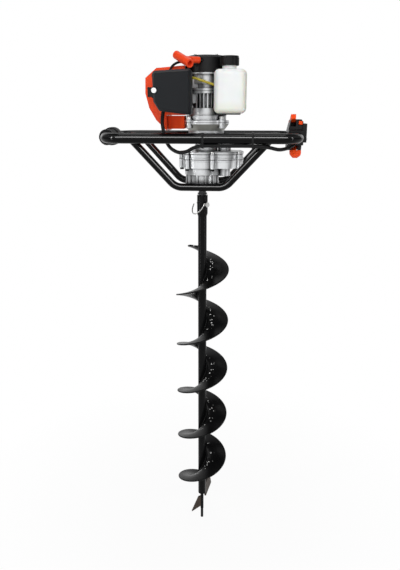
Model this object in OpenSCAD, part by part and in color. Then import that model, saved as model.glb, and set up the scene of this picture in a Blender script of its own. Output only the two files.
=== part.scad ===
// Petrol earth auger: a handle ring with two guard tubes carries a gearbox, a small two-stroke engine
// stands on the gearbox, and a screw bit hangs from the output shaft.
// Millimetres. The origin is the point of the bit, +Z runs up the spindle, and the operator stands at -Y.

/* [Bit] */
// Length of the bit, from its point to the top of its socket
bit_len = 1050; // [900:5:1100]
// Diameter of the screw
bit_d = 150; // [120:2:180]
// Diameter of the bit's pole
pole_d = 24; // [22:0.5:28]
// Rise of the screw in one turn
flight_pitch = 152; // [140:1:170]
// Height of the screw's lower end above the point
flight_bottom = 112; // [110:1:130]
// Turns of the screw
flight_turns = 5.22; // [4.5:0.01:5.4]
// Thickness of the screw's plate
flight_t = 4.5; // [3:0.5:6]
// Outside diameter of the bit's socket
socket_d = 29; // [28:0.5:34]
// Length of the bit's socket
socket_len = 58; // [50:1:70]
// Diameter of the pilot rod
pilot_d = 8.4; // [7:0.2:10]
// Length of the pilot rod below the pole
pilot_len = 95; // [80:1:105]
// Diameter of the lock pin
lock_pin_d = 8; // [6:0.5:9]

/* [Handle frame] */
// Height of the ring's centre line above the gearbox plate
ring_rise = 118.5; // [112:0.5:126]
// Distance from the spindle to the ring's side bars
ring_half_w = 244; // [235:1:290]
// Distance from the spindle to the ring's front bar
ring_front = 100; // [96:1:108]
// Distance from the spindle to the ring's rear bar
ring_rear = 112; // [106:1:130]
// Bend radius of the ring's front corners
ring_bend_front = 48; // [40:1:52]
// Bend radius of the ring's rear corners
ring_bend_rear = 66; // [50:1:70]
// Outside diameter of the ring's tube
ring_tube_d = 25.4; // [22:0.2:27]
// Outside diameter of the guard tubes
guard_tube_d = 19; // [16:0.5:21]
// Wall of the ring's tube and the guard tubes
tube_wall = 2; // [1.5:0.1:3]
// Distance from the spindle to the guards' bottom bars
guard_y = 76; // [72:1:80]
// Half length of the guards' straight bottom bar
guard_half_w = 46; // [44:1:60]
// Slope of the guards' legs
guard_angle = 47; // [44:1:52]
// Bend radius of the guards
guard_bend = 40; // [30:1:50]
// Thickness of the gearbox plate
plate_t = 6; // [4:0.5:8]
// Outside diameter of the left grip
grip_d = 40; // [36:1:46]

/* [Gearbox] */
// Height of the lower case
lower_case_h = 63; // [60:1:70]
// Height of the upper case
upper_case_h = 20; // [19:1:26]
// Distance from the spindle to the engine's axis
engine_x = 10; // [8:0.5:12]
// Gear module of the fast stage
fast_module = 1; // [1:0.05:1.05]
// Teeth of the input pinion
input_teeth = 12; // [12:1:14]
// Teeth of the countershaft gear
counter_teeth = 84; // [82:2:86]
// Teeth of the countershaft pinion
pinion_teeth = 14; // [12:1:15]
// Teeth of the output gear
output_teeth = 44; // [42:2:46]
// Diameter of the output shaft
output_d = 20; // [18:0.5:21]
// Wall of the gearbox cases
case_wall = 4.5; // [3.5:0.5:6]

/* [Engine] */
// Height of the neck between gearbox and clutch
neck_h = 30; // [26:1:36]
// Diameter of the neck
neck_d = 60; // [56:1:61]
// Height of the clutch's housing
foot_h = 24; // [20:1:26]
// Diameter of the clutch's housing
foot_d = 92; // [90:1:98]
// Height of the fan's housing
bell_h = 18; // [16:1:24]
// Diameter of the fan's housing
bell_d = 117; // [112:1:120]
// Height of each crankcase half above the fan's housing
half_h = 58; // [56:1:64]
// Diameter of the crankcase
crankcase_d = 70; // [68:1:74]
// Cylinder bore
bore_d = 44; // [40:0.5:46]
// Piston stroke
stroke = 34; // [30:1:36]
// Length of the connecting rod
rod_len = 52; // [50:1:56]
// Diameter of the starter's housing
starter_d = 98; // [94:1:102]
// Height of the starter's housing
starter_h = 40; // [38:1:46]
// Width of the fuel tank
tank_w = 79; // [70:1:84]
// Depth of the fuel tank
tank_depth = 98; // [80:1:100]
// Height of the fuel tank
tank_h = 102; // [90:1:104]
// Diameter of the fuel cap
cap_d = 47; // [44:1:50]
// Width of the air cleaner's cover
cover_w = 92; // [86:1:94]
// Height of the air cleaner's cover
cover_h = 103; // [96:1:105]
// Depth of the air cleaner's cover
cover_depth = 50; // [46:1:56]
// Diameter of the control cable
cable_d = 9; // [6:0.5:10]

/* [Hidden] */
$fn = 64;

// Colours
black_paint = [0.06, 0.06, 0.065];
silver = [0.75, 0.76, 0.77];
dark_steel = [0.42, 0.42, 0.43];
red_plastic = [0.94, 0.25, 0.12];
charcoal = [0.17, 0.18, 0.2];
tank_white = [0.94, 0.94, 0.92];
rubber_black = [0.08, 0.08, 0.08];

// Clearances
run = 0.05;
slip = 0.3;
eps = 0.01;

// Levels, from the point of the bit upwards
socket_gap = 27;
plate_bottom_z = bit_len + socket_gap;
base_z = plate_bottom_z + plate_t;
seam_z = base_z + lower_case_h;
gearbox_top_z = seam_z + upper_case_h;
foot_z = gearbox_top_z + neck_h;
bell_z = foot_z + foot_h;
engine_z = bell_z + bell_h;
flange_t = 5;
skirt_h = 17;
band_h = 18;
case_step = 18;
split_z = engine_z + case_step + half_h;
starter_z = split_z + half_h - 15;
top_z = starter_z + starter_h;
ring_z = base_z + ring_rise;
bar_z = base_z - plate_t / 2;

// Radii that several pieces share
ring_r = ring_tube_d / 2;
guard_r = guard_tube_d / 2;
bit_r = bit_d / 2;
pole_r = pole_d / 2;
socket_r = socket_d / 2;
pilot_r = pilot_d / 2;
output_r = output_d / 2;
lock_r = lock_pin_d / 2;
foot_r = foot_d / 2;
bell_r = bell_d / 2;
crankcase_r = crankcase_d / 2;
band_r = crankcase_r + 10;
bore_r = bore_d / 2;
starter_r = starter_d / 2;
cap_r = cap_d / 2;
cable_r = cable_d / 2;

// Gears: stub teeth, meshed at rest
pressure_angle = 20;
addendum = 0.7;
dedendum = 1.05;
backlash = 0.08;
fast_gap = fast_module * (input_teeth + counter_teeth) / 2;
counter_x = engine_x + fast_gap;
slow_module = 2 * counter_x / (pinion_teeth + output_teeth);
output_tip_r = slow_module * (output_teeth / 2 + addendum);
counter_tip_r = fast_module * (counter_teeth / 2 + addendum);
tip_clear = 1.8;
lobe_r = output_tip_r + tip_clear + case_wall;
counter_lobe_r = counter_tip_r + tip_clear + case_wall;
slow_gear_t = 12;
slow_gear_z = seam_z - 3 - slow_gear_t;
fast_gear_t = 10;
fast_gear_z = seam_z + 3;
cavity_z = slow_gear_z - 3;

// Bearings: bore radius, outside radius, width
output_bearing = [output_r, output_r + 11, 12];
counter_bearing = [5, 13, 8];
shaft_bearing = [7.5, 17.5, 11];
output_bearing_z = [base_z + 5, cavity_z - 6 - 12];
counter_boss_z = cavity_z - 26;
counter_bearing_z = [counter_boss_z + 4, gearbox_top_z - 2];
input_bearing_z = [gearbox_top_z + 4, foot_z - 13];
crank_bearing_z = [split_z - 22 - 15, split_z + 22 + 3];
web_r = 27;
web_t = 10;
web_gap = 20;
web_room = 2;

// Gearbox screws
lug_r = 6.5;
screw_r = 2.5;
lug_bottom_z = cavity_z - 5;
nut_r = 5.2;
nut_h = 5;
rim = 1.5;
lugs = [
    for (side = [-1, 1])
        each [
            [-0.71 * lobe_r, side * 0.84 * lobe_r],
            [counter_x / 2, side * (lobe_r - 3)],
            [counter_x + 0.8 * counter_lobe_r, side * 0.66 * counter_lobe_r]
        ]
];
left_lug = [-lobe_r - 3, 0];
plate_bolt_r = 4;
plate_bolt_pcd = 64;
bell_lug_r = 8;
bell_lug_pcd = bell_d;
bell_lug_h = 9;
bell_screw_r = 3;

// Clutch and flywheel
drum_r = foot_r - 6;
drum_wall = 3;
drum_z = foot_z + 3;
drum_h = foot_h - 9;
shoe_gap = 1.5;
shoe_r = drum_r - drum_wall - shoe_gap;
shoe_inner_r = shoe_r - 13;
shoe_t = 9;
shoe_z = drum_z + drum_wall + 1;
pivot_r = 4;
pivot_ring_r = shoe_r - 6.5;
fan_r = bell_r - 14;
fan_z = engine_z - 8;
fan_h = skirt_h;

// Cylinder group: the cylinder lies along -X
cylinder_z = split_z;
deck_x = engine_x - crankcase_r - 3;
pin_x = engine_x - stroke / 2 - rod_len;
crown_x = pin_x - 14;
head_x = crown_x - 3;
head_end_x = head_x - 14;
fin_half = 38;
port_x = (deck_x + head_x) / 2 + 6;
intake_y = -44;
exhaust_y = 42;
crank_pin_x = engine_x - stroke / 2;

// Intake side
carb_half = 16;
carb_front_y = -84;
base_plate_t = 6;
base_plate_y = carb_front_y - base_plate_t;
cover_wall = 2.5;
cover_x = [-18 - cover_w, -18];
cover_z = [split_z - 55, split_z - 55 + cover_h];
cover_back_y = carb_front_y;
cover_front_y = cover_back_y - cover_depth;
cover_taper = 10;
knob_pos = [cover_x[0] + 5.5, split_z - 2];
knob_r = 6;
knob_y = cover_front_y + 6;
ear_t = 4;
choke_pos = [cover_x[0] - 9, split_z - 7];
throttle_shaft_r = 3;
throttle_bore_r = 9;

// Fuel tank
tank_x0 = 33;
tank_y0 = 8 - tank_depth;
tank_z0 = engine_z + 22;
tank_round = 13;
tank_wall = 2.5;
tank_top_z = tank_z0 + tank_h;
neck_pos = [tank_x0 + 36, tank_y0 + 44];
filler_r = 17.5;
filler_h = 24;
cap_gap = 9;
cap_h = 22;
tank_notch_r = starter_r + 1.5;

// Starter: the rope leaves the reel as a tangent and is pulled to the front left
pull_angle = 217.7;
pull = [cos(pull_angle), sin(pull_angle), 0];
reel_r = 36;
groove_r = 32;
reel_t = 10;
rope_z = top_z - 13;
rope_r = 2;
starter_post_r = 6;
rope_start = [engine_x - groove_r * sin(pull_angle), groove_r * cos(pull_angle), rope_z];
rope_exit = sqrt(pow(starter_r, 2) - pow(groove_r, 2));
stem_r = 7.5;
stem_start = sqrt(pow(starter_r, 2) - pow(groove_r - stem_r, 2)) + 1;
bar_reach = 89;
handle_r = 10;
handle_len = 66;
handle_tilt = 20.5;

// Throttle handle, on the ring's right side bar
grip_x = ring_half_w;
side_mid_y = (ring_rear - ring_bend_rear - ring_front + ring_bend_front) / 2;
shell_half_len = (ring_rear - ring_bend_rear + ring_front - ring_bend_front) / 2 - 5;
trigger_pivot = [28, -24];
trigger_pin_r = 3;
trigger_half_w = 6.5;
trigger_mid = -4;
lock_pivot = [20, 38];
lock_x = [-18, -6];
shell_x = [-25, 13, 22];
switch_pivot = [-15, 36];

// Routes of the cables and hoses
cable_y = -ring_front - 3;
cable_under = sqrt(pow(ring_r + cable_r + 0.2, 2) - 9);
cable_route = [
    [grip_x - 12, side_mid_y - shell_half_len - slip, ring_z - 18], [grip_x - 12.5, -52, ring_z - 18.2],
    [grip_x - 17, -60, ring_z - 19.5], [grip_x - 29, -74, ring_z - 24], [grip_x - 50, -90, ring_z - 26],
    [grip_x - 78, -101, ring_z - 20], [grip_x - 114, cable_y, ring_z - cable_under],
    [60, cable_y, ring_z - cable_under], [8, cable_y, ring_z - cable_under],
    [-14, -100, ring_z - 22], [-34, -92, ring_z - 32], [-54, -86, ring_z - 34], [-74, -80, ring_z - 24],
    [-86, -76, ring_z - 6], [-92, -74, ring_z + 16], [-95, -72, ring_z + 40], [-92, -68, ring_z + 64],
    [-84, -64, ring_z + 84], [-76, -62, ring_z + 98], [-67, -62, ring_z + 103.4],
    [port_x - carb_half - slip, -62, ring_z + 104]
];
lead_route = [
    [-45.2, -11, split_z + 46], [-42, -11.8, split_z + 46.4], [-40.5, -19, split_z + 49.5],
        [-37, -28, split_z + 57],
    [-41, -39, split_z + 66], [-56, -50, split_z + 65], [-70, -56, split_z + 56],
    [-80, -57, split_z + 38], [-89, -54, split_z + 24], [-97, -46, split_z + 14],
    [-107, -30, split_z + 7], [-116, -14, split_z + 2], [-117.6, 0, split_z]
];
hose_route = [
    [tank_x0 - 0.4, -60, split_z + 13], [tank_x0 - 5, -60.5, split_z + 14.4], [20, -62.5, split_z + 17],
    [6, -65, split_z + 21.6], [-12, -66, split_z + 27.4], [-26, -62, split_z + 29.5],
        [-35, -55, split_z + 26.5],
    [-37, -53, split_z + 16.4]
];

// Vector and path helpers
function unit(v) = v / norm(v);
function spline(a, b, c, d, t) =
    0.5 * (2 * b + (c - a) * t + (2 * a - 5 * b + 4 * c - d) * t * t + (3 * b - a - 3 * c + d) * t * t * t);
function smooth(p, n) = [
    for (i = [0 : len(p) - 2], k = [0 : n - 1])
        spline(p[max(i - 1, 0)], p[i], p[i + 1], p[min(i + 2, len(p) - 1)], k / n),
    p[len(p) - 1]
];
function tangent(p, i) = unit(p[min(i + 1, len(p) - 1)] - p[max(i - 1, 0)]);

// A solid tube along a smooth path; up is a direction that the path never takes
module swept_tube(route, r, up, steps = 3, sides = 10) {
    path = smooth(route, steps);
    count = len(path);
    points = [
        for (i = [0 : count - 1])
            let (along = tangent(path, i), side = unit(cross(along, up)), top = cross(side, along))
                for (k = [0 : sides - 1])
                    path[i] + r * (cos(360 * k / sides) * side + sin(360 * k / sides) * top)
    ];
    skin = [
        for (i = [0 : count - 2], k = [0 : sides - 1])
            let (a = i * sides + k, b = i * sides + (k + 1) % sides)
                each [[a, b, b + sides], [a, b + sides, a + sides]]
    ];
    first_cap = [for (k = [1 : sides - 2]) [0, k + 1, k]];
    base = (count - 1) * sides;
    last_cap = [for (k = [1 : sides - 2]) [base, base + k, base + k + 1]];
    polyhedron(points, concat(skin, first_cap, last_cap));
}

// Outline helpers
function rounded_outline(w, h, r, n = 6) = [
    for (corner = [0 : 3], k = [0 : n])
        let (a = 90 * corner + 90 * k / n, sx = [1, -1, -1, 1][corner], sy = [1, 1, -1, -1][corner])
            [sx * (w / 2 - r) + r * cos(a), sy * (h / 2 - r) + r * sin(a)]
];
function involute_angle(base, r) = r <= base ? 0 : tan(acos(base / r)) * 180 / PI - acos(base / r);
function gear_outline(mod, teeth, phase) =
    let (
        pitch = mod * teeth / 2, base = pitch * cos(pressure_angle), tip = pitch + addendum * mod,
        root = pitch - dedendum * mod, low = max(base, root),
        half = 90 / teeth - backlash * mod / pitch * 90 / PI + involute_angle(base, pitch)
    ) [
        for (k = [0 : teeth - 1])
            let (centre = phase + 360 * k / teeth)
                each concat(
                    [root * [cos(centre - half), sin(centre - half)]],
                    [for (s = [0 : 3])
                        let (r = low + (tip - low) * s / 3,
                        a = centre - half + involute_angle(base, r)) r * [cos(a), sin(a)]],
                    [for (s = [3 : -1 : 0])
                        let (r = low + (tip - low) * s / 3,
                        a = centre + half - involute_angle(base, r)) r * [cos(a), sin(a)]],
                    [root * [cos(centre + half), sin(centre + half)]]
                )
    ];

module bored(r_out, r_in, h) {
    difference() {
        cylinder(r = r_out, h = h);
        translate([0, 0, -1]) cylinder(r = r_in, h = h + 2);
    }
}
module at_engine(z) { translate([engine_x, 0, z]) children(); }
module at_counter(z) { translate([counter_x, 0, z]) children(); }
module along_x(x0, z = cylinder_z, y = 0) { translate([x0, y, z]) rotate([0, 90, 0]) children(); }
module along_y(x, y0, z) { translate([x, y0, z]) rotate([-90, 0, 0]) children(); }
module block(low, high) { translate(low) cube(high - low); }

// Handle frame
module tube_section(r) {
    difference() {
        circle(r);
        circle(r - tube_wall);
    }
}
module straight_tube(r, length) { rotate([0, 90, 0]) linear_extrude(length) tube_section(r); }
module bent_tube(r, bend, angle) { rotate_extrude(angle = angle) translate([bend, 0]) tube_section(r); }

module handle_ring() {
    color(black_paint) translate([0, 0, ring_z]) {
        front_half = ring_half_w - ring_bend_front;
        rear_half = ring_half_w - ring_bend_rear;
        side_front_y = -ring_front + ring_bend_front;
        side_rear_y = ring_rear - ring_bend_rear;
        translate([-front_half, -ring_front, 0]) straight_tube(ring_r, 2 * front_half);
        translate([-rear_half, ring_rear, 0]) straight_tube(ring_r, 2 * rear_half);
        for (side = [0, 1]) mirror([side, 0, 0]) {
            translate([ring_half_w, side_front_y, 0]) rotate(90)
                straight_tube(ring_r, side_rear_y - side_front_y);
            translate([front_half, side_front_y, 0]) rotate(-90) bent_tube(ring_r, ring_bend_front, 90);
            translate([rear_half, side_rear_y, 0]) bent_tube(ring_r, ring_bend_rear, 90);
        }
    }
}

module left_grip() {
    collar_r = grip_d / 2 + 3.5;
    collar_t = shell_half_len - 3;
    color(rubber_black) translate([-ring_half_w, side_mid_y + shell_half_len, ring_z]) rotate([90, 0, 0]) {
        bored(grip_d / 2, ring_r, 2 * shell_half_len);
        bored(collar_r, ring_r, collar_t);
    }
}

weld_gap = 0.1;
bend_bulge = 0.1;
module guard(bar_y, top_y) {
    lean = atan((abs(top_y) - abs(bar_y)) / (ring_z - bar_z)) * sign(bar_y);
    rise = (ring_z - bar_z) / cos(lean);
    leg = (rise - guard_bend * (1 - cos(guard_angle))) / sin(guard_angle);
    leg_x = guard_half_w + guard_bend * sin(guard_angle);
    leg_y = guard_bend * (1 - cos(guard_angle));
    color(black_paint) translate([0, bar_y, bar_z]) rotate([90 - lean, 0, 0]) difference() {
        guard_path(guard_r, leg, leg_x, leg_y);
        guard_path(guard_r - tube_wall, leg + 1, leg_x, leg_y);
    }
}
module guard_path(r, leg, leg_x, leg_y) {
    translate([-guard_half_w, 0, 0]) rotate([0, 90, 0]) cylinder(r = r, h = 2 * guard_half_w);
    for (side = [0, 1]) mirror([side, 0, 0]) {
        translate([guard_half_w, guard_bend, 0]) rotate(-90)
            rotate_extrude(angle = guard_angle) translate([guard_bend, 0]) circle(r + bend_bulge);
        translate([leg_x, leg_y, 0]) rotate(guard_angle) rotate([0, 90, 0]) cylinder(r = r, h = leg);
    }
}
module front_guard_tube() { guard(-guard_y, -(ring_front - ring_r - guard_r - weld_gap)); }
module rear_guard_tube() { guard(guard_y, ring_rear - ring_r - guard_r - weld_gap); }

module gearbox_plate() {
    color(black_paint) difference() {
        block([2 - guard_half_w, -guard_y, plate_bottom_z], [guard_half_w - 2, guard_y, base_z]);
        for (side = [-1, 1])
            along_x(-ring_half_w, bar_z, side * guard_y) cylinder(r = guard_r + run, h = 2 * ring_half_w);
        translate([0, 0, plate_bottom_z - 1]) cylinder(r = output_r + 5, h = plate_t + 2);
        for (a = [45 : 90 : 315])
            rotate(a) translate([plate_bolt_pcd / 2, 0, plate_bottom_z - 1])
                cylinder(r = plate_bolt_r, h = plate_t + 2);
    }
}

// Screws of the gearbox, the plate and the engine's foot
screw_head_h = 4;
bell_head_h = 6;
plate_bolt_grip = 14;
module cap_screw(r, head_r, head_h, length) {
    translate([0, 0, -length]) cylinder(r = r, h = length);
    difference() {
        cylinder(r = head_r, h = head_h);
        translate([0, 0, head_h / 2]) cylinder(r = r, h = head_h, $fn = 6);
    }
}
module case_screws() {
    color(dark_steel) {
        for (p = concat(lugs, [left_lug])) {
            translate([p[0], p[1], gearbox_top_z - 4])
                cap_screw(screw_r, screw_r * 1.8, screw_head_h, gearbox_top_z - 4 - lug_bottom_z + 2);
            translate([p[0], p[1], lug_bottom_z - nut_h]) cylinder(r = nut_r, h = nut_h);
        }
        for (a = [45 : 90 : 315]) {
            rotate(a) translate([plate_bolt_pcd / 2, 0, plate_bottom_z]) mirror([0, 0, 1])
                cap_screw(plate_bolt_r, plate_bolt_r * 1.6, 6, plate_t + plate_bolt_grip);
            at_engine(engine_z + bell_lug_h - slip) rotate(a) translate([bell_lug_pcd / 2, 0, 0])
                cap_screw(bell_screw_r, bell_screw_r * 1.8, bell_head_h, bell_lug_h + 7);
        }
    }
}

// Gearbox
module lobes(r_output, r_counter) {
    circle(r_output);
    translate([counter_x, 0]) circle(r_counter);
    half = min(r_output, r_counter) - 4;
    translate([0, -half]) square([counter_x, 2 * half]);
}
module lug_columns(z0, z1) {
    for (p = concat(lugs, [left_lug])) translate([p[0], p[1], z0]) cylinder(r = lug_r, h = z1 - z0);
}
module lug_holes(z0, z1) {
    for (p = concat(lugs, [left_lug])) translate([p[0], p[1], z0]) cylinder(r = screw_r, h = z1 - z0);
}
barrel_r = 41;
collar_r = 46;
collar_h = 18;
rib_count = 12;
boss_r = counter_bearing[1] + 3;
module gearbox_lower_case() {
    barrel_top = cavity_z - 4;
    color(silver) difference() {
        union() {
            translate([0, 0, base_z]) cylinder(r = barrel_r, h = barrel_top - base_z);
            for (k = [0 : rib_count - 1])
                rotate(360 * (k + 0.5) / rib_count) translate([barrel_r - 5, -2.5, base_z])
                    cube([8, 5, barrel_top - collar_h - base_z + 2]);
            translate([0, 0, barrel_top - collar_h]) cylinder(r = collar_r, h = collar_h);
            translate([0, 0, barrel_top]) linear_extrude(seam_z - barrel_top) lobes(lobe_r, counter_lobe_r);
            translate([0, 0, seam_z - 4]) linear_extrude(4 - slip) lobes(lobe_r + rim, counter_lobe_r + rim);
            at_counter(counter_boss_z) cylinder(r = boss_r, h = barrel_top - counter_boss_z + 1);
            lug_columns(lug_bottom_z, seam_z);
        }
        translate([0, 0, cavity_z]) linear_extrude(seam_z - cavity_z + 1)
            lobes(lobe_r - case_wall, counter_lobe_r - case_wall);
        translate([0, 0, base_z - 1]) cylinder(r = output_r + 2, h = 10);
        translate([0, 0, output_bearing_z[0]])
            cylinder(r = output_bearing[1], h = cavity_z - output_bearing_z[0] + 1);
        at_counter(counter_bearing_z[0])
            cylinder(r = counter_bearing[1], h = cavity_z - counter_bearing_z[0] + 1);
        lug_holes(lug_bottom_z - 1, seam_z + 1);
        for (a = [45 : 90 : 315])
            rotate(a) translate([plate_bolt_pcd / 2, 0, base_z - 1])
                cylinder(r = plate_bolt_r, h = plate_bolt_grip + 1);
    }
}
upper_boss_r = counter_bearing[1] + 4;
module gearbox_upper_case() {
    top_wall = 5;
    boss_top = counter_bearing_z[1] + counter_bearing[2] + 4;
    color(silver) difference() {
        union() {
            translate([0, 0, seam_z]) linear_extrude(upper_case_h) lobes(lobe_r, counter_lobe_r);
            for (z = [seam_z + slip, gearbox_top_z - 6])
                translate([0, 0, z]) linear_extrude(4) lobes(lobe_r + rim, counter_lobe_r + rim);
            lug_columns(seam_z, gearbox_top_z - 4);
            at_counter(gearbox_top_z - 1) cylinder(r = upper_boss_r, h = boss_top - gearbox_top_z + 1);
        }
        translate([0, 0, seam_z - 1]) linear_extrude(upper_case_h - top_wall + 1)
            lobes(lobe_r - case_wall, counter_lobe_r - case_wall);
        at_engine(seam_z) cylinder(r = shaft_bearing[0] + 1.5, h = upper_case_h + 1);
        at_counter(seam_z)
            cylinder(r = counter_bearing[1], h = counter_bearing_z[1] + counter_bearing[2] - seam_z);
        lug_holes(seam_z - 1, gearbox_top_z);
        for (p = concat(lugs, [left_lug]))
            translate([p[0], p[1], gearbox_top_z - 4]) cylinder(r = screw_r * 1.8 + 0.4, h = 6);
    }
}
module ball_bearings() {
    color(dark_steel) {
        for (z = output_bearing_z)
            translate([0, 0, z]) bored(output_bearing[1], output_bearing[0] + run, output_bearing[2]);
        for (z = counter_bearing_z)
            at_counter(z) bored(counter_bearing[1], counter_bearing[0] + run, counter_bearing[2]);
        for (z = concat(input_bearing_z, crank_bearing_z))
            at_engine(z) bored(shaft_bearing[1], shaft_bearing[0] + run, shaft_bearing[2]);
    }
}
shaft_foot = 46;
circlip_t = 2.5;
module output_shaft() {
    color(dark_steel) difference() {
        union() {
            translate([0, 0, bit_len - shaft_foot])
                cylinder(r = output_r, h = seam_z - 1 - bit_len + shaft_foot);
            translate([0, 0, bit_len + 3]) cylinder(r = output_r + 3, h = circlip_t);
        }
        lock_hole();
    }
}
module output_gear() {
    color(dark_steel) translate([0, 0, slow_gear_z]) difference() {
        linear_extrude(slow_gear_t) polygon(gear_outline(slow_module, output_teeth, 0));
        translate([0, 0, -1]) cylinder(r = output_r, h = slow_gear_t + 2);
    }
}
hub_r = 7;
module countershaft() {
    color(dark_steel) at_counter(0) {
        translate([0, 0, counter_bearing_z[0]])
            cylinder(r = counter_bearing[0],
                h = counter_bearing_z[1] + counter_bearing[2] - 0.5 - counter_bearing_z[0]);
        translate([0, 0, counter_bearing_z[0] + counter_bearing[2] + 1])
            cylinder(r = hub_r,
                h = fast_gear_z + fast_gear_t - counter_bearing_z[0] - counter_bearing[2] - 1);
        translate([0, 0, slow_gear_z]) linear_extrude(slow_gear_t)
            polygon(gear_outline(slow_module, pinion_teeth, 180 + 180 / pinion_teeth));
    }
}
module countershaft_gear() {
    color(dark_steel) at_counter(fast_gear_z) difference() {
        linear_extrude(fast_gear_t) polygon(gear_outline(fast_module, counter_teeth, 180));
        translate([0, 0, -1]) cylinder(r = hub_r, h = fast_gear_t + 2);
    }
}
module input_shaft() {
    color(dark_steel) at_engine(0) {
        translate([0, 0, fast_gear_z]) linear_extrude(fast_gear_t)
            polygon(gear_outline(fast_module, input_teeth, 180 / input_teeth));
        translate([0, 0, fast_gear_z + fast_gear_t]) cylinder(r = fast_module * input_teeth / 2 - 1.2, h = 3);
        translate([0, 0, fast_gear_z + fast_gear_t + 2])
            cylinder(r = shaft_bearing[0], h = drum_z + drum_wall - fast_gear_z - fast_gear_t - 2);
    }
}
module clutch_drum() {
    color(dark_steel) at_engine(drum_z) difference() {
        cylinder(r = drum_r, h = drum_h);
        translate([0, 0, drum_wall]) cylinder(r = drum_r - drum_wall, h = drum_h);
        translate([0, 0, -1]) cylinder(r = shaft_bearing[0], h = drum_wall + 2);
    }
}

// Clutch housing: neck, foot and fan bell in one casting
housing_wall = 4;
bell_cone = 14;
fan_space_r = fan_r + 2.5;
duct_half = 22;
module clutch_housing() {
    color(silver) difference() {
        union() {
            at_engine(gearbox_top_z) rotate_extrude() polygon([
                [0, 0], [neck_d / 2, 0], [neck_d / 2, neck_h], [foot_r - 3, neck_h], [foot_r, neck_h + 3],
                [foot_r, neck_h + foot_h - 2], [foot_r + 2, neck_h + foot_h],
                    [bell_r, neck_h + foot_h + bell_cone],
                [bell_r, neck_h + foot_h + bell_h], [0, neck_h + foot_h + bell_h]
            ]);
            for (a = [45 : 90 : 315]) at_engine(engine_z - 14) rotate(a) translate([bell_lug_pcd / 2, 0, 0])
                cylinder(r = bell_lug_r, h = 14 - slip);
        }
        at_engine(gearbox_top_z - 1) cylinder(r = shaft_bearing[0] + 1.5, h = neck_h);
        at_engine(input_bearing_z[0]) cylinder(r = shaft_bearing[1], h = foot_z - input_bearing_z[0] - 1);
        at_engine(foot_z - 2) cylinder(r = shaft_bearing[1] - 2, h = 6);
        at_engine(foot_z + 1) cylinder(r = foot_r - housing_wall, h = foot_h + bell_h);
        at_engine(bell_z) cylinder(r1 = foot_r + 2 - housing_wall, r2 = fan_space_r, h = bell_cone);
        at_engine(bell_z + bell_cone - eps) cylinder(r = fan_space_r, h = bell_h);
        for (a = [45 : 90 : 315]) at_engine(engine_z - 8) rotate(a) translate([bell_lug_pcd / 2, 0, 0])
            cylinder(r = bell_screw_r, h = 10);
        block([engine_x - bell_r - 10, 6 - duct_half, bell_z + 6],
            [engine_x - 20, duct_half - 6, engine_z - 3]);
    }
}

// Engine: crank group
blade_count = 18;
module flywheel_fan() {
    disc_t = 5;
    color(silver) at_engine(fan_z) difference() {
        union() {
            cylinder(r = fan_r, h = disc_t);
            cylinder(r = 15, h = fan_h);
            for (k = [0 : blade_count - 1])
                rotate(360 * k / blade_count) translate([fan_r - 22, -1.5, disc_t - eps])
                    cube([20, 3, fan_h - disc_t]);
            for (a = [0, 180])
                rotate(a) translate([pivot_ring_r, 0, shoe_z - fan_z])
                    cylinder(r = pivot_r, h = fan_z - shoe_z + 1);
        }
        translate([0, 0, -1]) cylinder(r = shaft_bearing[0], h = fan_h + 2);
    }
}
module crankshaft() {
    end_z = fan_z + 0.5;
    cup_z = starter_z + 2;
    cup_r = 16;
    color(dark_steel) at_engine(0) {
        translate([0, 0, end_z]) cylinder(r = shaft_bearing[0], h = split_z - web_gap / 2 - end_z);
        for (z = [split_z - web_gap / 2 - web_t, split_z + web_gap / 2])
            translate([0, 0, z]) cylinder(r = web_r, h = web_t);
        translate([0, 0, split_z - web_gap / 2 - 1]) cylinder(r = 4.5, h = web_gap + 2);
        translate([0, 0, split_z + web_gap / 2])
            cylinder(r = shaft_bearing[0], h = cup_z + 4 - split_z - web_gap / 2);
        translate([0, 0, cup_z]) difference() {
            cylinder(r = cup_r, h = 8);
            translate([0, 0, 4]) cylinder(r = cup_r - 3, h = 8);
            for (a = [0 : 90 : 270]) rotate(a) translate([cup_r - 4, -2.5, 5]) cube([8, 5, 8]);
        }
    }
}
module clutch_shoe(turn) {
    color(dark_steel) at_engine(shoe_z) rotate(turn) difference() {
        linear_extrude(shoe_t) difference() {
            intersection() {
                circle(shoe_r);
                translate([-2 * shoe_r, 3]) square([4 * shoe_r, 2 * shoe_r]);
            }
            circle(shoe_inner_r);
        }
        rotate(30) translate([pivot_ring_r, 0, -1]) cylinder(r = pivot_r + run, h = shoe_t + 2);
    }
}
module clutch_shoe_1() { clutch_shoe(-30); }
module clutch_shoe_2() { clutch_shoe(150); }

// Engine: crankcase and cylinder group
deck_half = 29;
split_flange_t = 6;
// A round step of the casting, cut flat where the cylinder stands
module case_round(r, low, high) {
    difference() {
        at_engine(low) cylinder(r = r, h = high - low);
        block([deck_x - 60, -60, low - 1], [deck_x + 1, 60, high + 1]);
    }
}
module crankcase_solid(low, high) {
    at_engine(low) cylinder(r = crankcase_r, h = high - low);
    block(
        [deck_x, -deck_half, max(low, split_z - deck_half)],
        [engine_x - 12, deck_half, min(high, split_z + deck_half)]
    );
}
module crankcase_hollow() {
    web_space = web_gap + 2 * (web_t + web_room);
    at_engine(split_z - web_space / 2) cylinder(r = web_r + web_room, h = web_space);
    along_x(deck_x - 1) cylinder(r = bore_r, h = engine_x - deck_x);
    at_engine(crank_bearing_z[0])
        cylinder(r = shaft_bearing[1], h = crank_bearing_z[1] + shaft_bearing[2] - crank_bearing_z[0]);
    at_engine(engine_z - 1) cylinder(r = shaft_bearing[0] + 2, h = starter_z - engine_z + 2);
}
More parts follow.
